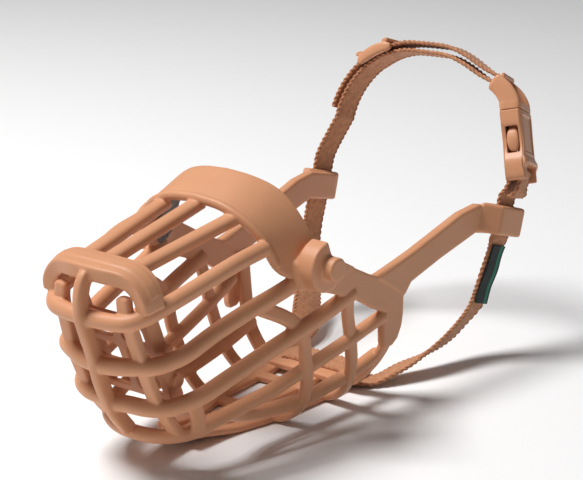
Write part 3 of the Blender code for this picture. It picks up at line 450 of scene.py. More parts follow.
def basket():
    """The whole basket moulding as one skin."""
    plane = Vector(BAR_PLANE)
    level = Vector((1, 0, 0))
    lengthwise = Vector((0, 1, 0))
    hoop = rounded_section(*HOOP)
    solids = [sweep(mirrored(smooth(path)), plane, rounded_section(2 * radius, 2 * radius, 2.0, 24))
              for path, radius in zip(NOSE_BARS, BAR_RADII)]
    solids.append(sweep(smooth(FRONT_CENTRE_BAR), level, rounded_section(*CENTRE_BAR, 28)))
    for side in (1, -1):
        solids.append(sweep(smooth(sided(KEEL_BAR, side)), level, rounded_section(*KEEL)))
        path, scales = domed(smooth(sided(FRONT_SIDE_BAR, side)), 1.8)
        solids.append(sweep(path, level, rounded_section(*SIDE_BAR), scales))
        solids.append(sweep(smooth(sided(FRONT_OUTER_BAR, side)), Vector((0.35 * side, 1, 0)),
                            rounded_section(*OUTER_BAR)))
        solids.append(sweep(smooth(sided(FLOOR_EDGE, side)), level, rounded_section(*EDGE_STRIP)))
        solids += cheek_solids(side)
    solids.append(sweep(mirrored(smooth(FRONT_HOOP[::-1])), lengthwise, hoop))
    solids.append(sweep(mirrored(smooth(REAR_HOOP[::-1])), lengthwise, hoop))
    solids.append(sweep(mirrored(smooth(REAR_RIM[::-1])), lengthwise, rounded_section(*RIM)))
    solids.append(sweep(smooth(FLOOR_STRIP), level, rounded_section(*MIDDLE_STRIP, 28)))
    half_plate = [(y, x) for x, y in CHIN_PLATE]
    outline = half_plate + [(y, -x) for y, x in reversed(half_plate[1:-1])]
    flat = prism(outline, *CHIN_PLATE_HEIGHT)
    solids.append(([Vector((v.z, v.y, v.x)) for v in flat[0]], flat[1]))
    for path in TOP_BARS.values():
        solids.append(sweep(smooth(path), level, rounded_section(*TOP_BAR)))
    solids.append(shell(CAP_FRONT, CAP_REAR, CAP_THICK, 9.0))
    solids.append(cap_strip())
    solids.append(shell(BAND_FRONT, BAND_REAR, BAND_THICK, 6.0))
    lip = [p + Vector(LIP_SHIFT) for p in smooth(BAND_FRONT[:-2], 5)]
    solids.append(sweep(mirrored(lip), lengthwise, rounded_section(*BAND_LIP)))
    moulding = piece_from("basket_moulding", solids)
    fused(moulding, VOXEL, rounds=3)
    pitch = Matrix.Rotation(math.radians(-BLOCK_PITCH), 4, "X")
    slots = [rounded_box((*SLOT_SIZE, 40), (SLOT_X[side], *BLOCK_CENTRE), pitch, 10.0) for side in (1, -1)]
    slots += [rounded_box((SLOT_SIZE[0] + 1, SLOT_SIZE[1], 12), (side * CHIN_SLOT[0], CHIN_SLOT[1], 4),
                          None, 10.0) for side in (1, -1)]
    carved(moulding, slots)
    moulding.data.shade_smooth()
    return moulding


def guard():
    """Leaning panel of six windows with a rounded flange and small knobs down each side."""
    wide, tall, thick = GUARD_SIZE
    flat = rounded_section(wide, thick, 8.0, 28)
    rows = [Vector((0, 0, z)) for z in np.linspace(-tall / 2, tall / 2, 6)]
    solids = [sweep(rows, Vector((1, 0, 0)), flat)]
    for side in (1, -1):
        rail = [p + Vector((side * (wide / 2 - 1.4), GUARD_FLANGE / 2 - 0.6, 0)) for p in rows]
        path, scales = domed(rail, 1.6)
        solids.append(sweep(path, Vector((1, 0, 0)), rounded_section(3.0, GUARD_FLANGE, 2.6), scales))
        for height in (-0.28, 0.1):
            edge = side * wide / 2
            solids.append(drum((GUARD_FLANGE / 2, height * tall), GUARD_KNOB[0], edge - side * 1.0,
                               edge + side * GUARD_KNOB[1], 24))
    panel = piece_from("inner_guard_panel", solids)
    step_x = (wide - 2 * GUARD_WINDOW[0]) / 3 + GUARD_WINDOW[0]
    step_z = (tall - 3 * GUARD_WINDOW[1]) / 4 + GUARD_WINDOW[1]
    flat_turn = Matrix.Rotation(math.radians(90), 4, "X")
    windows = [rounded_box((GUARD_WINDOW[0], GUARD_WINDOW[1], 12), (side * step_x / 2, 0, row * step_z),
                           flat_turn, 5.0) for side in (1, -1) for row in (-1, 0, 1)]
    carved(panel, windows)
    fused(panel, voxel=0.42, rounds=5)
    turn = Matrix.Rotation(math.radians(GUARD_PITCH), 4, "X")
    panel.data.transform(Matrix.Translation(Vector(GUARD_PLACE) * MM) @ turn)
    return panel


def felt_lines():
    """Middle line of the felt under the band, with its width directions and inward normals."""
    front = mirrored(smooth(BAND_FRONT, 4)[:-4])
    rear = mirrored(smooth(BAND_REAR, 4)[:-4])
    across = [b - a for a, b in zip(front, rear)]
    middle = [a + (b - a) * 0.56 for a, b in zip(front, rear)]
    inward = []
    for i, (point, side) in enumerate(zip(middle, across)):
        along = middle[min(i + 1, len(middle) - 1)] - middle[max(i - 1, 0)]
        normal = side.cross(along).normalized()
        if normal.dot(point - Vector((0, point.y, SHELL_CENTRE_Z))) > 0:
            normal = -normal
        inward.append(normal)
    path = [point + normal * (BAND_THICK + FELT_THICK / 2 + 0.3) for point, normal in zip(middle, inward)]
    return path, across, inward


def felt():
    """Felt strip buttoned under the band, with a rough pile."""
    path, across, inward = felt_lines()
    pad = piece_from("nose_felt", [sweep(path, across, rounded_section(FELT_WIDTH, FELT_THICK, 5.0, 28))])
    holes = [drum_between(path[i] - inward[i] * 5, path[i] + inward[i] * 5, 1.9) for i in (3, len(path) - 4)]
    carved(pad, holes)
    fused(pad, voxel=0.55, rounds=2)
    pile = bpy.data.textures.new("pile", "CLOUDS")
    pile.noise_scale = 0.0016
    rough = pad.modifiers.new("Rough", "DISPLACE")
    rough.texture = pile
    rough.strength = 0.5 * MM
    rough.mid_level = 0.5
    rough.texture_coords = "LOCAL"
    applied(pad)
    pad.data.shade_smooth()
    return pad


def drum_between(start, end, radius, count=20):
    """Cylinder between two points."""
    along = (end - start).normalized()
    across = Vector((0, 1, 0)) if abs(along.y) < 0.7 else Vector((1, 0, 0))
    path = [start + (end - start) * t for t in (0, 0.25, 0.5, 0.75, 1)]
    return sweep(path, across, rounded_section(2 * radius, 2 * radius, 2.0, count))


def felt_studs():
    """Round headed studs that hold the felt."""
    path, _, inward = felt_lines()
    solids = []
    for i in (3, len(path) - 4):
        start = path[i] - inward[i] * (FELT_THICK / 2 + 0.6)
        neck, scales = domed([start, start + inward[i] * 2.5, start + inward[i] * 4.6], 0.9)
        solids.append(sweep(neck, Vector((0, 1, 0)), rounded_section(3.4, 3.4, 2.0, 20), scales))
        head = start + inward[i] * 4.2
        dome, scales = domed([head, head + inward[i] * 0.8], 0.8)
        solids.append(sweep(dome, Vector((0, 1, 0)), rounded_section(5.0, 4.0, 2.4, 20), scales))
    return fused(piece_from("felt_studs", solids), voxel=0.3, rounds=3)


def loop_axes():
    """The loop's own directions: rearwards along a slot, and up through it."""
    lean = math.radians(BLOCK_PITCH)
    return Vector((0, math.cos(lean), -math.sin(lean))), Vector((0, math.sin(lean), math.cos(lean)))


def in_loop(x, s):
    """Point of the strap loop's plane at X = x, a distance s above the slots."""
    return Vector((x, *BLOCK_CENTRE)) + loop_axes()[1] * s


def on_arc(radius, degrees):
    """Point on a circle about the arc's centre, in the loop plane."""
    angle = math.radians(degrees)
    return in_loop(ARC_CENTRE[0] + radius * math.cos(angle), ARC_CENTRE[1] + radius * math.sin(angle))


def buckle_matrix():
    """Frame of the buckle: x out of its face, y along its width, z along its length."""
    lean = math.radians(BUCKLE_LEAN)
    twist = math.radians(BUCKLE_TWIST)
    rear, up = loop_axes()
    along = Vector((-math.sin(lean), 0, 0)) + up * math.cos(lean)
    out = Vector((math.cos(lean), 0, 0)) + up * math.sin(lean)
    wide = rear * math.cos(twist) - out * math.sin(twist)
    face = out * math.cos(twist) + rear * math.sin(twist)
    matrix = Matrix((face, wide, along)).transposed().to_4x4()
    matrix.translation = in_loop(*BUCKLE_BASE)
    return matrix


def evenly(path, across, widths):
    """Resample a path, its width directions and its widths at equal steps."""
    path = np.array([tuple(p) for p in path])
    across = np.array([tuple(a) for a in across])
    reach = np.concatenate([[0], np.cumsum(np.linalg.norm(np.diff(path, axis=0), axis=1))])
    stops = np.linspace(0, reach[-1], max(4, int(reach[-1] / WEB_STEP)))
    spread = [np.column_stack([np.interp(stops, reach, values[:, k]) for k in range(3)])
              for values in (path, across)]
    return spread[0], spread[1], np.interp(stops, reach, widths), stops


def frames_along(path, across):
    """Unit side and normal directions along a path."""
    along = np.gradient(path, axis=0)
    along /= np.linalg.norm(along, axis=1)[:, None]
    side = across - along * np.sum(along * across, axis=1)[:, None]
    side /= np.linalg.norm(side, axis=1)[:, None]
    return side, np.cross(side, along)


def webbing(name, path, across, widths=WEB_WIDTH, phase=0.0):
    """Woven strap: a flat body with fine weft ribs, and two cords twisted along each edge."""
    if not isinstance(across, list):
        across = [across] * len(path)
    widths = widths if isinstance(widths, list) else [widths] * len(path)
    line, sides, wide, stops = evenly(path, across, widths)
    side, normal = frames_along(line, sides)
    verts = []
    faces = []
    marks = []

    def tube(rings, drift):
        """Add a closed tube through the rings, with its place across the weave."""
        base = len(verts)
        ring = rings.shape[1]
        verts.extend(map(Vector, rings.reshape(-1, 3)))
        marks.extend((drift, stop / 10) for stop in stops for _ in range(ring))
        for i in range(len(stops) - 1):
            for k in range(ring):
                n = (k + 1) % ring
                a = base + i * ring
                faces.append((a + k, a + n, a + ring + n, a + ring + k))
        faces.append(tuple(base + k for k in reversed(range(ring))))
        faces.append(tuple(base + (len(stops) - 1) * ring + k for k in range(ring)))

    section = np.array(rounded_section(1.0, 1.0, 5.0, 36))
    rib = 1 + 0.07 * np.cos(2 * math.pi * (stops + phase) / 0.9)
    half = (wide - 2 * CORD_RADIUS)[:, None] * section[None, :, 0]
    tall = WEB_THICK * rib[:, None] * section[None, :, 1]
    tube(line[:, None] + side[:, None] * half[:, :, None] + normal[:, None] * tall[:, :, None], 0.0)
    for k, (a, _) in enumerate(np.tile(section, (len(stops), 1))):
        marks[k] = (a * WEB_WIDTH / 10, marks[k][1])
    circle = np.array([(math.cos(2 * math.pi * k / 8), math.sin(2 * math.pi * k / 8)) for k in range(8)])
    for edge in (1, -1):
        for strand in (0, math.pi):
            turn = 2 * math.pi * (stops + phase) / CORD_PITCH + strand
            middle = (line + side * (edge * (wide / 2 - CORD_RADIUS) + CORD_SWAY[0] * np.sin(turn))[:, None]
                      + normal * (CORD_SWAY[1] * np.cos(turn))[:, None])
            rings = middle[:, None] + CORD_RADIUS * (side[:, None] * circle[None, :, 0, None]
                                                     + normal[:, None] * circle[None, :, 1, None])
            tube(rings, edge * 3.0 + strand)
    made = piece_from(name, [(verts, faces)])
    layer = made.data.uv_layers.new(name="weave")
    for loop in made.data.loops:
        layer.data[loop.index].uv = marks[loop.vertex_index]
    made.data.shade_smooth()
    return made


def chin_webbing(side, name):
    """Webbing from the top of a slot block down through it and under the chin plate."""
    rear = loop_axes()[0]
    level = Vector((0, 1, 0))
    over = CHIN_PLATE_HEIGHT[1] + WEB_THICK / 2 + 0.2
    under = CHIN_PLATE_HEIGHT[0] - WEB_THICK / 2 - 0.2
    slot_x, slot_y = CHIN_SLOT
    top = [(in_loop(SLOT_X[side], s), rear) for s in (7.2, 0, -8)]
    run = [(Vector((side * p[0], p[1], p[2])), Vector((side * w[0], w[1], w[2]))) for p, w in CHIN_RUN[side]]
    low = [(Vector((side * x, slot_y, z)), level)
           for x, z in ((slot_x + 8, under + 0.1), (slot_x + 1.6, under),
                        (slot_x, CHIN_PLATE_HEIGHT[0] + 0.3), (slot_x, CHIN_PLATE_HEIGHT[1]),
                        (slot_x - 1.6, over), (0.05, over))]
    path, across = [smooth([item[k] for item in top + run + low[:1]], 6)
                    + smooth([item[k] for item in low], 5)[1:]
                    for k in (0, 1)]
    count = len(path)
    tuck, middle, spread = CHIN_TUCK
    widths = [WEB_WIDTH - tuck * max(0.0, 1 - abs(i / count - middle) / spread) for i in range(count)]
    return webbing(name, path, across, widths)


def neck_webbing_left():
    """Inner layer of webbing from the left slot up to the seam under the slider."""
    path = smooth([in_loop(SLOT_X[-1], 3), in_loop(SLOT_X[-1], 9), in_loop(SLOT_X[-1] + 0.8, 17),
                   on_arc(ARC_RADIUS, 178)], 4)[:-1]
    path += [on_arc(ARC_RADIUS, a) for a in np.arange(178, SEAM_ANGLE - 0.1, -2)]
    return webbing("neck_webbing_left", path, loop_axes()[0])


def neck_webbing_tail():
    """Outer layer from the cut end to the seam over the slider."""
    path = [on_arc(ARC_RADIUS + LAYER_STEP, a) for a in np.arange(TAIL_END, SEAM_ANGLE - 0.1, -2)]
    return webbing("neck_webbing_tail", path, loop_axes()[0], phase=1.7)


def plug_bend():
    """Turn of the plug's outer end, about the width of the buckle at the bend."""
    return Matrix.Translation((0, 0, SOCKET_TOP + 2.7)) @ Matrix.Rotation(math.radians(-PLUG_BEND), 4, "Y")


def neck_webbing_arch():
    """Both layers from the seams to the plug, folded round its bar."""
    rear, up = loop_axes()
    bar = buckle_matrix() @ plug_bend() @ Vector((0, 0, PLUG_BAR_HEIGHT)) - in_loop(0, 0)
    end = (bar.x, bar.dot(up))
    aside = rear * bar.dot(rear)
    middle = ARC_RADIUS + LAYER_STEP / 2
    start = [(ARC_CENTRE[0] + middle * math.cos(math.radians(a)),
              ARC_CENTRE[1] + middle * math.sin(math.radians(a))) for a in (SEAM_ANGLE, 104, 97)]
    guide = start + [(-4, 73.8), (7, 73.6), (17, 70.8), (28, 66.0), end]
    line = smooth([Vector((x, s, 0)) for x, s in guide], 6)
    inner = []
    outer = []
    for i, point in enumerate(line):
        along = (line[min(i + 1, len(line) - 1)] - line[max(i - 1, 0)]).normalized()
        normal = Vector((-along.y, along.x, 0))
        swell = 1 + 0.25 * math.sin(math.pi * i / len(line)) ** 2
        outer.append(point + normal * LAYER_STEP / 2 * swell)
        inner.append(point - normal * LAYER_STEP / 2)
    along = (line[-1] - line[-2]).normalized()
    normal = Vector((-along.y, along.x, 0))
    turn = [line[-1] + (along * math.sin(a) - normal * math.cos(a)) * LAYER_STEP / 2
            for a in (math.radians(d) for d in range(20, 180, 20))]
    wide = buckle_matrix().to_3x3() @ Vector((0, 1, 0))
    share = [max(0.0, min(1.0, (i / len(inner) - 0.5) / 0.45)) for i in range(len(inner))]
    parts = share + [1.0] * len(turn) + share[::-1]
    route = inner + turn + outer[::-1]
    places = [in_loop(p.x, p.y) + aside * part for p, part in zip(route, parts)]
    across = [rear * (1 - part) + wide * part for part in parts]
    return webbing("neck_webbing_arch", places, across, WEB_WIDTH - 0.6)


def neck_webbing_right():
    """Webbing up from the right slot, round the socket's bar and back down in a short fold."""
    rear = loop_axes()[0]
    place = buckle_matrix()
    radius = BUCKLE_BAR_Z + WEB_THICK / 2 + 0.6
    fold = [place @ Vector((-radius * math.cos(a), 0, BUCKLE_BAR_Z + radius * math.sin(a)))
            for a in (math.radians(d) for d in range(0, 181, 20))]
    x = SLOT_X[1]
    rise = [in_loop(x, 3), in_loop(x, 9), in_loop(x + 0.4, 12), in_loop(x + 1.0, 15.5)]
    back = [in_loop(x + 6.9, 17.5), in_loop(x + 6.4, 13.8), in_loop(x + 4.2, 11.6)]
    wide = place.to_3x3() @ Vector((0, 1, 0))
    across = [rear, rear, rear, wide] + [wide] * (len(fold) + 1) + [rear * 0.4 + wide * 0.6] * 2
    return webbing("neck_webbing_right", smooth(rise + fold + back, 3), smooth(across, 3), WEB_WIDTH - 0.8)


def slider_matrix():
    """Frame of the slider about the arc's centre: x outwards, y rearwards, z along the webbing."""
    angle = math.radians(SLIDER_ANGLE)
    rear, up = loop_axes()
    out = Vector((math.cos(angle), 0, 0)) + up * math.sin(angle)
    matrix = Matrix((out, rear, out.cross(rear))).transposed().to_4x4()
    matrix.translation = in_loop(*ARC_CENTRE)
    return matrix


def slider():
    """Moulded slider: two domed side bars, end bars over the webbing and a middle bar between its layers."""
    inner = ARC_RADIUS + WEB_THICK / 2
    outer = inner + LAYER_STEP
    solids = []
    half = SLIDER_LENGTH / 2
    reach = (SLIDER_WIDTH - WEB_WIDTH) / 2 - 0.5
    for side in (1, -1):
        bow = [Vector((inner - 0.6 + (outer - inner) * 0.62 * (1 - (t * 0.9) ** 2) + 0.5,
                       side * (SLIDER_WIDTH - reach) / 2, t * half)) for t in np.linspace(-1, 1, 15)]
        scales = [0.45 + 0.55 * math.sqrt(max(0.0, 1 - t * t)) for t in np.linspace(-1, 1, 15)]
        solids.append(sweep(bow, Vector((0, 1, 0)), rounded_section(reach, 5.4, 3.0, 24), scales))
    level = Vector((1, 0, 0))
    wide = (SLIDER_WIDTH - 2) / 2
    lift, inset = SLIDER_END_BAR
    for end in (-1, 1):
        bar = [Vector((outer + lift, y, end * (half - inset))) for y in np.linspace(-wide, wide, 7)]
        solids.append(sweep(bar, level, rounded_section(1.9, 3.2, 3.4)))
    middle = (inner + outer - WEB_THICK) / 2
    bar = [Vector((middle, y, 0)) for y in np.linspace(-wide, wide, 7)]
    solids.append(sweep(bar, level, rounded_section(1.3, 4.0, 4.0)))
    return fused(piece_from("slider_moulding", [placed(s, slider_matrix()) for s in solids]),
                 voxel=0.24, rounds=4)


def socket():
    """Female half of the buckle with its waist, side windows, framed face and flared foot."""
    right = smooth([Vector((0, w, z)) for w, z in SOCKET_OUTLINE], 5)
    outline = [(p.y, p.z) for p in right] + [(-p.y, p.z) for p in reversed(right)]
    body = piece_from("socket_moulding", [prism(outline, -SOCKET_HALF_THICK, SOCKET_HALF_THICK)])
    cuts = [
        rounded_box((6.4, 18.2, 21), (0, 0, 20.5), None, 8.0),
        rounded_box((6.2, 30, 12.5), (0, 0, 16.4), None, 4.0),
        rounded_box((15, 15.8, 9.6), (0, 0, -0.4), None, 8.0),
    ]
    carved(body, cuts)
    fused(body, voxel=0.3, rounds=3)
    height, reach, out = FLARE
    bottom, top = PANEL_HEIGHTS
    frame_wide, frame_high = PANEL_FRAME
    for vert in body.data.vertices:
        x, y, z = vert.co / MM
        flare = max(0.0, 1 - abs(z - height) / reach)
        if x > 2.5:
            x += out * flare * flare * (3 - 2 * flare)
            depth = min(PANEL_HALF_WIDTH - abs(y), z - bottom, top - z)
            if depth > 0:
                x -= PANEL_DEPTH * min(1.0, depth / 0.5)
            elif depth > -frame_wide:
                x += frame_high * (1 - abs(depth + frame_wide / 2) / (frame_wide / 2))
        crown = 0.5 * (abs(y) / 10.5) ** 4
        x -= math.copysign(crown, x) if abs(x) > 4.4 else 0.0
        vert.co = Vector((x, y, z)) * MM
    rod = [Vector((0, y, BUCKLE_BAR_Z)) for y in np.linspace(-9, 9, 5)]
    bar = piece_from("socket_bar", [sweep(rod, Vector((1, 0, 0)), rounded_section(2.4, 2.4, 2.4, 16))])
    joined = join_pieces(body, [bar])
    joined.data.transform(buckle_matrix_in_metres())
    joined.data.shade_smooth()
    return joined


def join_pieces(first, others):
    """Put the meshes of the others into the first piece."""
    shape = bmesh.new()
    for piece in [first] + others:
        shape.from_mesh(piece.data)
    shape.to_mesh(first.data)
    shape.free()
    for piece in others:
        bpy.data.objects.remove(piece, do_unlink=True)
    return first


def buckle_matrix_in_metres():
    """The buckle's frame with its place in metres."""
    matrix = buckle_matrix()
    matrix.translation = matrix.translation * MM
    return matrix


def plug():
    """Male half: shoulder, centre tongue and two bent legs with the webbing bar between them."""
    solids = [rounded_box((10.4, 22.6, 3.2), (0, 0, SOCKET_TOP + 0.35 + 1.6), None, 7.0),
              rounded_box((4.2, 5.0, 20), (0, 0, SOCKET_TOP - 7.5), None, 6.0)]
    curve = smooth([Vector((0.0, 0, SOCKET_TOP + 2)), Vector((-0.2, 0, SOCKET_TOP + 5)),
                    Vector((-1.8, 0, SOCKET_TOP + 9)), Vector((-4.2, 0, SOCKET_TOP + 12.2)),
                    Vector((-6.2, 0, SOCKET_TOP + 14))], 5)
    for side in (1, -1):
        leg = [p + Vector((0, side * 9.7, 0)) for p in curve]
        path, scales = domed(leg, 1.6)
        shrink = [s * (1.0 - 0.22 * i / len(path)) for i, s in enumerate(scales)]
        solids.append(sweep(path, Vector((1, 0, 0)), rounded_section(10.2, 3.2, 3.4, 24), shrink))
    bend = plug_bend()
    bar = [bend @ Vector((0, y, PLUG_BAR_HEIGHT)) for y in np.linspace(-9, 9, 5)]
    solids.append(sweep(bar, Vector((1, 0, 0)), rounded_section(1.5, 1.7, 2.4, 16)))
    rim = [bend @ Vector((3.0, y, PLUG_BAR_HEIGHT + 1.2)) for y in np.linspace(-9, 9, 5)]
    solids.append(sweep(rim, Vector((1, 0, 0)), rounded_section(1.5, 2.4, 3.0, 16)))
    return fused(piece_from("plug_moulding", [placed(s, buckle_matrix()) for s in solids]),
                 voxel=0.28, rounds=4)


def thumb_pad(side, name):
    """One springy prong of the plug with the thumb pad that shows in the side window."""
    arm = [Vector((0, side * y, z)) for y, z in ((6.6, 30), (6.7, 25), (6.9, 20), (6.9, 14), (6.4, 12.2))]
    pad = [Vector((0, side * (8.3 + 0.9 * math.sin(math.pi * t)), 11.0 + 10.6 * t))
           for t in np.linspace(0, 1, 9)]
    scales = [0.55 + 0.45 * math.sin(math.pi * min(1.0, max(0.0, t))) ** 0.5 for t in np.linspace(0, 1, 9)]
    solids = [sweep(arm, Vector((1, 0, 0)), rounded_section(4.0, 2.0, 4.0)),
              sweep(pad, Vector((1, 0, 0)), rounded_section(5.6, 2.6, 3.0, 24), scales)]
    return fused(piece_from(name, [placed(s, buckle_matrix()) for s in solids]), voxel=0.22, rounds=4)


def label():
    """Woven label sewn to the right chin webbing."""
    (high, across), _, (low, _) = CHIN_RUN[1][:3]
    high, low = Vector(high), Vector(low)
    along = (high - low).normalized()
    wide = (Vector(across) - along * along.dot(Vector(across))).normalized()
    out = wide.cross(along)
    matrix = Matrix((out, wide, along)).transposed().to_4x4()
    matrix.translation = (high + low) / 2 + out * (WEB_THICK / 2 + LABEL_SIZE[2] / 2 + 0.5)
    rows = 40
    path = [Vector((0.25 * math.cos(3.5 * math.pi * t), 0, (t - 0.5) * LABEL_SIZE[1]))
            for t in np.linspace(0, 1, rows)]
    solid = sweep(path, Vector((0, 1, 0)), rounded_section(LABEL_SIZE[0], LABEL_SIZE[2], 8.0, 28))
    made = piece_from("woven_label", [solid])
    layer = made.data.uv_layers.new(name="weave")
    for loop in made.data.loops:
        co = made.data.vertices[loop.vertex_index].co / MM
        layer.data[loop.index].uv = (co.y / 10, co.z / 10)
    matrix.translation *= MM
    made.data.transform(matrix)
    made.data.shade_smooth()
    return made


def shader(name):
    """New material: its node tree and its Principled shader."""
    made = bpy.data.materials.new(name)
    made.use_nodes = True
    return made, made.node_tree, made.node_tree.nodes["Principled BSDF"]


def set_inputs(node, values):
    """Set a node's inputs by name."""
    for name, value in values.items():
        node.inputs[name].default_value = value


def texture(tree, kind, vector, **values):
    """Texture node over a place or UV output, with its inputs set by name."""
    made = tree.nodes.new(kind)
    set_inputs(made, values)
    tree.links.new(vector, made.inputs["Vector"])
    return made


def ribs(tree, vector, direction, **values):
    """Wave bands across the UV map."""
    made = texture(tree, "ShaderNodeTexWave", vector, **values)
    made.bands_direction = direction
    return made.outputs["Fac"]


def ramped(tree, factor, stops, interpolation="LINEAR"):
    """Colour of a factor, from (position, colour) stops."""
    made = tree.nodes.new("ShaderNodeValToRGB")
    made.color_ramp.interpolation = interpolation
    elements = made.color_ramp.elements
    for number, (position, colour) in enumerate(stops):
        stop = elements[number] if number < 2 else elements.new(position)
        stop.position = position
        stop.color = colour
    tree.links.new(factor, made.inputs["Fac"])
    return made.outputs["Color"]


def mixed(tree, factor, low, high):
    """Colour between low and high, each a colour or an output."""
    made = tree.nodes.new("ShaderNodeMix")
    made.data_type = "RGBA"
    tree.links.new(factor, made.inputs["Factor"])
    for socket, colour in (("A", low), ("B", high)):
        if isinstance(colour, tuple):
            made.inputs[socket].default_value = colour
        else:
            tree.links.new(colour, made.inputs[socket])
    return made.outputs["Result"]


def bumped(tree, bsdf, height, strength, distance):
    """Relief of the surface from a height output."""
    made = tree.nodes.new("ShaderNodeBump")
    set_inputs(made, {"Strength": strength, "Distance": distance})
    tree.links.new(height, made.inputs["Height"])
    tree.links.new(made.outputs["Normal"], bsdf.inputs["Normal"])


def moulded_plastic(name, light, dark, roughness):
    """Satin polyethylene: faint mottling, fine grain, a painted highlight that makes the edges paler, and a
    little light inside.
    """
    made, tree, bsdf = shader(name)
    place = tree.nodes.new("ShaderNodeTexCoord").outputs["Object"]
    mottle = texture(tree, "ShaderNodeTexNoise", place, Scale=38.0, Detail=4.0).outputs["Fac"]
    grain = texture(tree, "ShaderNodeTexNoise", place, Scale=1500.0, Detail=2.0).outputs["Fac"]
    # painted highlight: sharp edges found by pointiness are mixed towards a paler tan, standing in for
    # bright rims of light
    pointed = tree.nodes.new("ShaderNodeNewGeometry").outputs["Pointiness"]
    edge = ramped(tree, pointed, [(0.56, (0, 0, 0, 1)), (0.70, (0.35, 0.35, 0.35, 1))])
    pale = tuple(min(1.0, c * 1.25) for c in light[:3]) + (1.0,)
    colour = mixed(tree, edge, mixed(tree, mottle, dark, light), pale)
    tree.links.new(colour, bsdf.inputs["Base Color"])
    bumped(tree, bsdf, grain, strength=0.12, distance=0.0004)
    gloss = tree.nodes.new("ShaderNodeMapRange")
    set_inputs(gloss, {"To Min": roughness - 0.05, "To Max": roughness + 0.08})
    tree.links.new(mottle, gloss.inputs["Value"])
    tree.links.new(gloss.outputs["Result"], bsdf.inputs["Roughness"])
    set_inputs(bsdf, {"Specular IOR Level": 0.35, "Subsurface Weight": 0.12,
                      "Subsurface Radius": (1.0, 0.45, 0.25), "Subsurface Scale": 0.002})
    return made


def woven(name, light, dark, weft, warp):
    """Woven yarn: fine ribs across and along the strap, mottled, with a soft sheen."""
    made, tree, bsdf = shader(name)
    place = tree.nodes.new("ShaderNodeTexCoord").outputs
    mottle = texture(tree, "ShaderNodeTexNoise", place["Object"], Scale=450.0, Detail=5.0).outputs["Fac"]
    weave = tree.nodes.new("ShaderNodeMath")
    weave.operation = "MULTIPLY"
    across = ribs(tree, place["UV"], "Y", Scale=weft, Distortion=1.2, Detail=2.0)
    tree.links.new(across, weave.inputs[0])
    tree.links.new(ribs(tree, place["UV"], "X", Scale=warp, Distortion=1.5), weave.inputs[1])
    shade = tree.nodes.new("ShaderNodeMath")
    shade.operation = "MULTIPLY_ADD"
    shade.inputs[1].default_value = 0.45
    tree.links.new(weave.outputs["Value"], shade.inputs[0])
    tree.links.new(mottle, shade.inputs[2])
    colour = ramped(tree, shade.outputs["Value"], [(0.3, dark), (0.85, light)])
    tree.links.new(colour, bsdf.inputs["Base Color"])
    bumped(tree, bsdf, shade.outputs["Value"], strength=0.5, distance=0.0003)
    set_inputs(bsdf, {"Roughness": 0.85, "Specular IOR Level": 0.2, "Sheen Weight": 0.15})
    return made


def speckled_felt():
    """Dark felt of black and pale fibres."""
    made, tree, bsdf = shader("speckled_felt")
    place = tree.nodes.new("ShaderNodeTexCoord").outputs["Object"]
    fibre = texture(tree, "ShaderNodeTexNoise", place, Scale=900.0, Detail=6.0, Roughness=0.7,
                    Distortion=1.5).outputs["Fac"]
    colour = ramped(tree, fibre, [(0.42, (0.012, 0.012, 0.014, 1)), (0.66, (0.36, 0.35, 0.36, 1))])
    tree.links.new(colour, bsdf.inputs["Base Color"])
    bumped(tree, bsdf, fibre, strength=0.8, distance=0.0005)
    set_inputs(bsdf, {"Roughness": 1.0, "Sheen Weight": 0.4})
    return made


def label_cloth():
    """Black damask label with a plain green stripe along it."""
    made, tree, bsdf = shader("label_cloth")
    place = tree.nodes.new("ShaderNodeTexCoord").outputs["UV"]
    split = tree.nodes.new("ShaderNodeSeparateXYZ")
    tree.links.new(place, split.inputs["Vector"])
    spread = tree.nodes.new("ShaderNodeMapRange")
    set_inputs(spread, {"From Min": -LABEL_SIZE[0] / 20, "From Max": LABEL_SIZE[0] / 20})
    tree.links.new(split.outputs["X"], spread.inputs["Value"])
    stops = [(0.0, (0, 0, 0, 1)), (0.62, (1, 1, 1, 1)), (0.84, (0, 0, 0, 1))]
    stripe = ramped(tree, spread.outputs["Result"], stops, "CONSTANT")
    threads = ribs(tree, place, "Y", Scale=9.0, Distortion=3.0, Detail=3.0)
    black = mixed(tree, threads, (0.008, 0.011, 0.012, 1), (0.03, 0.045, 0.045, 1))
    green = mixed(tree, threads, (0.01, 0.10, 0.07, 1), (0.02, 0.28, 0.17, 1))
    tree.links.new(mixed(tree, stripe, black, green), bsdf.inputs["Base Color"])
    bumped(tree, bsdf, threads, strength=0.4, distance=0.0002)
    set_inputs(bsdf, {"Roughness": 0.8})
    return made


def plain_floor():
    """Wide pale floor."""
    bpy.ops.mesh.primitive_plane_add(size=8.0, location=(0, 0, -0.0002))
    floor = bpy.context.object
    floor.name = "floor"
    made, _, bsdf = shader("floor")
    set_inputs(bsdf, {"Base Color": (0.94, 0.94, 0.94, 1), "Roughness": 0.9, "Specular IOR Level": 0.1})
    floor.data.materials.append(made)


def look_from(place, target):
    """Rotation of something at place that faces target."""
    return (Vector(target) - Vector(place)).to_track_quat("-Z", "Y").to_euler()


def soft_light(name, place, power, size):
    """Square area light that faces the object."""
    data = bpy.data.lights.new(name, "AREA")
    data.energy = power
    data.size = size
    lamp = bpy.data.objects.new(name, data)
    lamp.location = place
    lamp.rotation_euler = look_from(place, (0, 0, 0.06))
    bpy.context.scene.collection.objects.link(lamp)


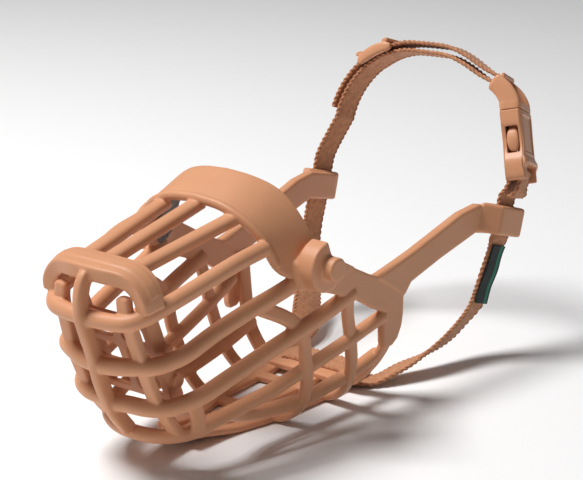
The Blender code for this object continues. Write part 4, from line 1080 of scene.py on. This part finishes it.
def studio():
    """Camera, soft lights and a pale room."""
    data = bpy.data.cameras.new("camera")
    data.sensor_width = SENSOR_WIDTH
    data.lens = CAMERA_LENS
    data.clip_start = 0.01
    camera = bpy.data.objects.new("camera", data)
    place = Vector(CAMERA_PLACE) * MM
    camera.location = place
    camera.rotation_euler = look_from(place, Vector(CAMERA_TARGET) * MM)
    bpy.context.scene.collection.objects.link(camera)
    bpy.context.scene.camera = camera
    world = bpy.data.worlds.new("room")
    world.use_nodes = True
    world.node_tree.nodes["Background"].inputs["Color"].default_value = (1, 1, 1, 1)
    world.node_tree.nodes["Background"].inputs["Strength"].default_value = 0.14
    bpy.context.scene.world = world
    bpy.context.scene.view_settings.view_transform = "Standard"
    soft_light("key", (-0.55, -0.45, 1.5), 30.0, 0.6)
    soft_light("front", (-1.0, -1.0, 0.5), 0.8, 0.8)
    plain_floor()


studio()
tan = moulded_plastic("tan_plastic", (0.68, 0.33, 0.18, 1), (0.60, 0.28, 0.145, 1), 0.44)
fitting = moulded_plastic("fitting_plastic", (0.68, 0.33, 0.18, 1), (0.60, 0.28, 0.145, 1), 0.36)
yarn = woven("webbing_yarn", (0.60, 0.29, 0.15, 1), (0.36, 0.15, 0.075, 1), 3.4, 2.6)
fibre_felt = speckled_felt()
damask = label_cloth()

BASKET_NODES = ("nose_cap", "top_bar_left", "top_bar_centre", "top_bar_right", "bridge_band",
                "front_grille", "upper_bar_left", "upper_bar_right", "side_grille_left", "side_grille_right",
                "cheek_arm_left", "cheek_arm_right", "floor_grille", "chin_plate")
# piece, material, material slot, body, nodes that it stands for
FITTED = [
    (basket(), tan, "basket", "basket", BASKET_NODES),
    (guard(), tan, "basket", "basket", ("inner_guard",)),
    (felt(), fibre_felt, "felt", "basket", ("felt_pad",)),
    (felt_studs(), tan, "basket", "basket", ("felt_stud_left", "felt_stud_right")),
    (chin_webbing(1, "chin_webbing_right"), yarn, "webbing", "basket", ("chin_strap_right",)),
    (chin_webbing(-1, "chin_webbing_left"), yarn, "webbing", "basket", ("chin_strap_left",)),
    (label(), damask, "label", "basket", ("strap_label",)),
    (neck_webbing_tail(), yarn, "webbing", "neck", ("strap_tail",)),
    (slider(), fitting, "fittings", "slider", ("slider",)),
    (socket(), fitting, "fittings", "neck", ("buckle_socket",)),
    (plug(), fitting, "fittings", "plug", ("buckle_plug",)),
    (thumb_pad(-1, "thumb_pad_front"), fitting, "fittings", "prong_front", ("prong_front",)),
    (thumb_pad(1, "thumb_pad_rear"), fitting, "fittings", "prong_rear", ("prong_rear",)),
]
for piece, look, slot, body, nodes in FITTED:
    piece.data.materials.clear()
    piece.data.materials.append(look)
    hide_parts(*nodes)
    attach(piece, body)

arch_start = in_loop(-2, 74) * MM
arch_end = in_loop(30, 65) * MM
# piece, first body, second body, where the bend starts and ends, node that it stands for
BENT = [
    (neck_webbing_left(), "basket", "neck", in_loop(0, 7.5) * MM, in_loop(0, 17) * MM, "neck_strap_left"),
    (neck_webbing_right(), "basket", "neck", in_loop(0, 7.5) * MM, in_loop(0, 15) * MM, "neck_strap_right"),
    (neck_webbing_arch(), "neck", "plug", arch_start, arch_end, "neck_strap_arch"),
]
for piece, first, second, start, end, node in BENT:
    piece.data.materials.clear()
    piece.data.materials.append(yarn)
    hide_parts(node)
    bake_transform(piece)
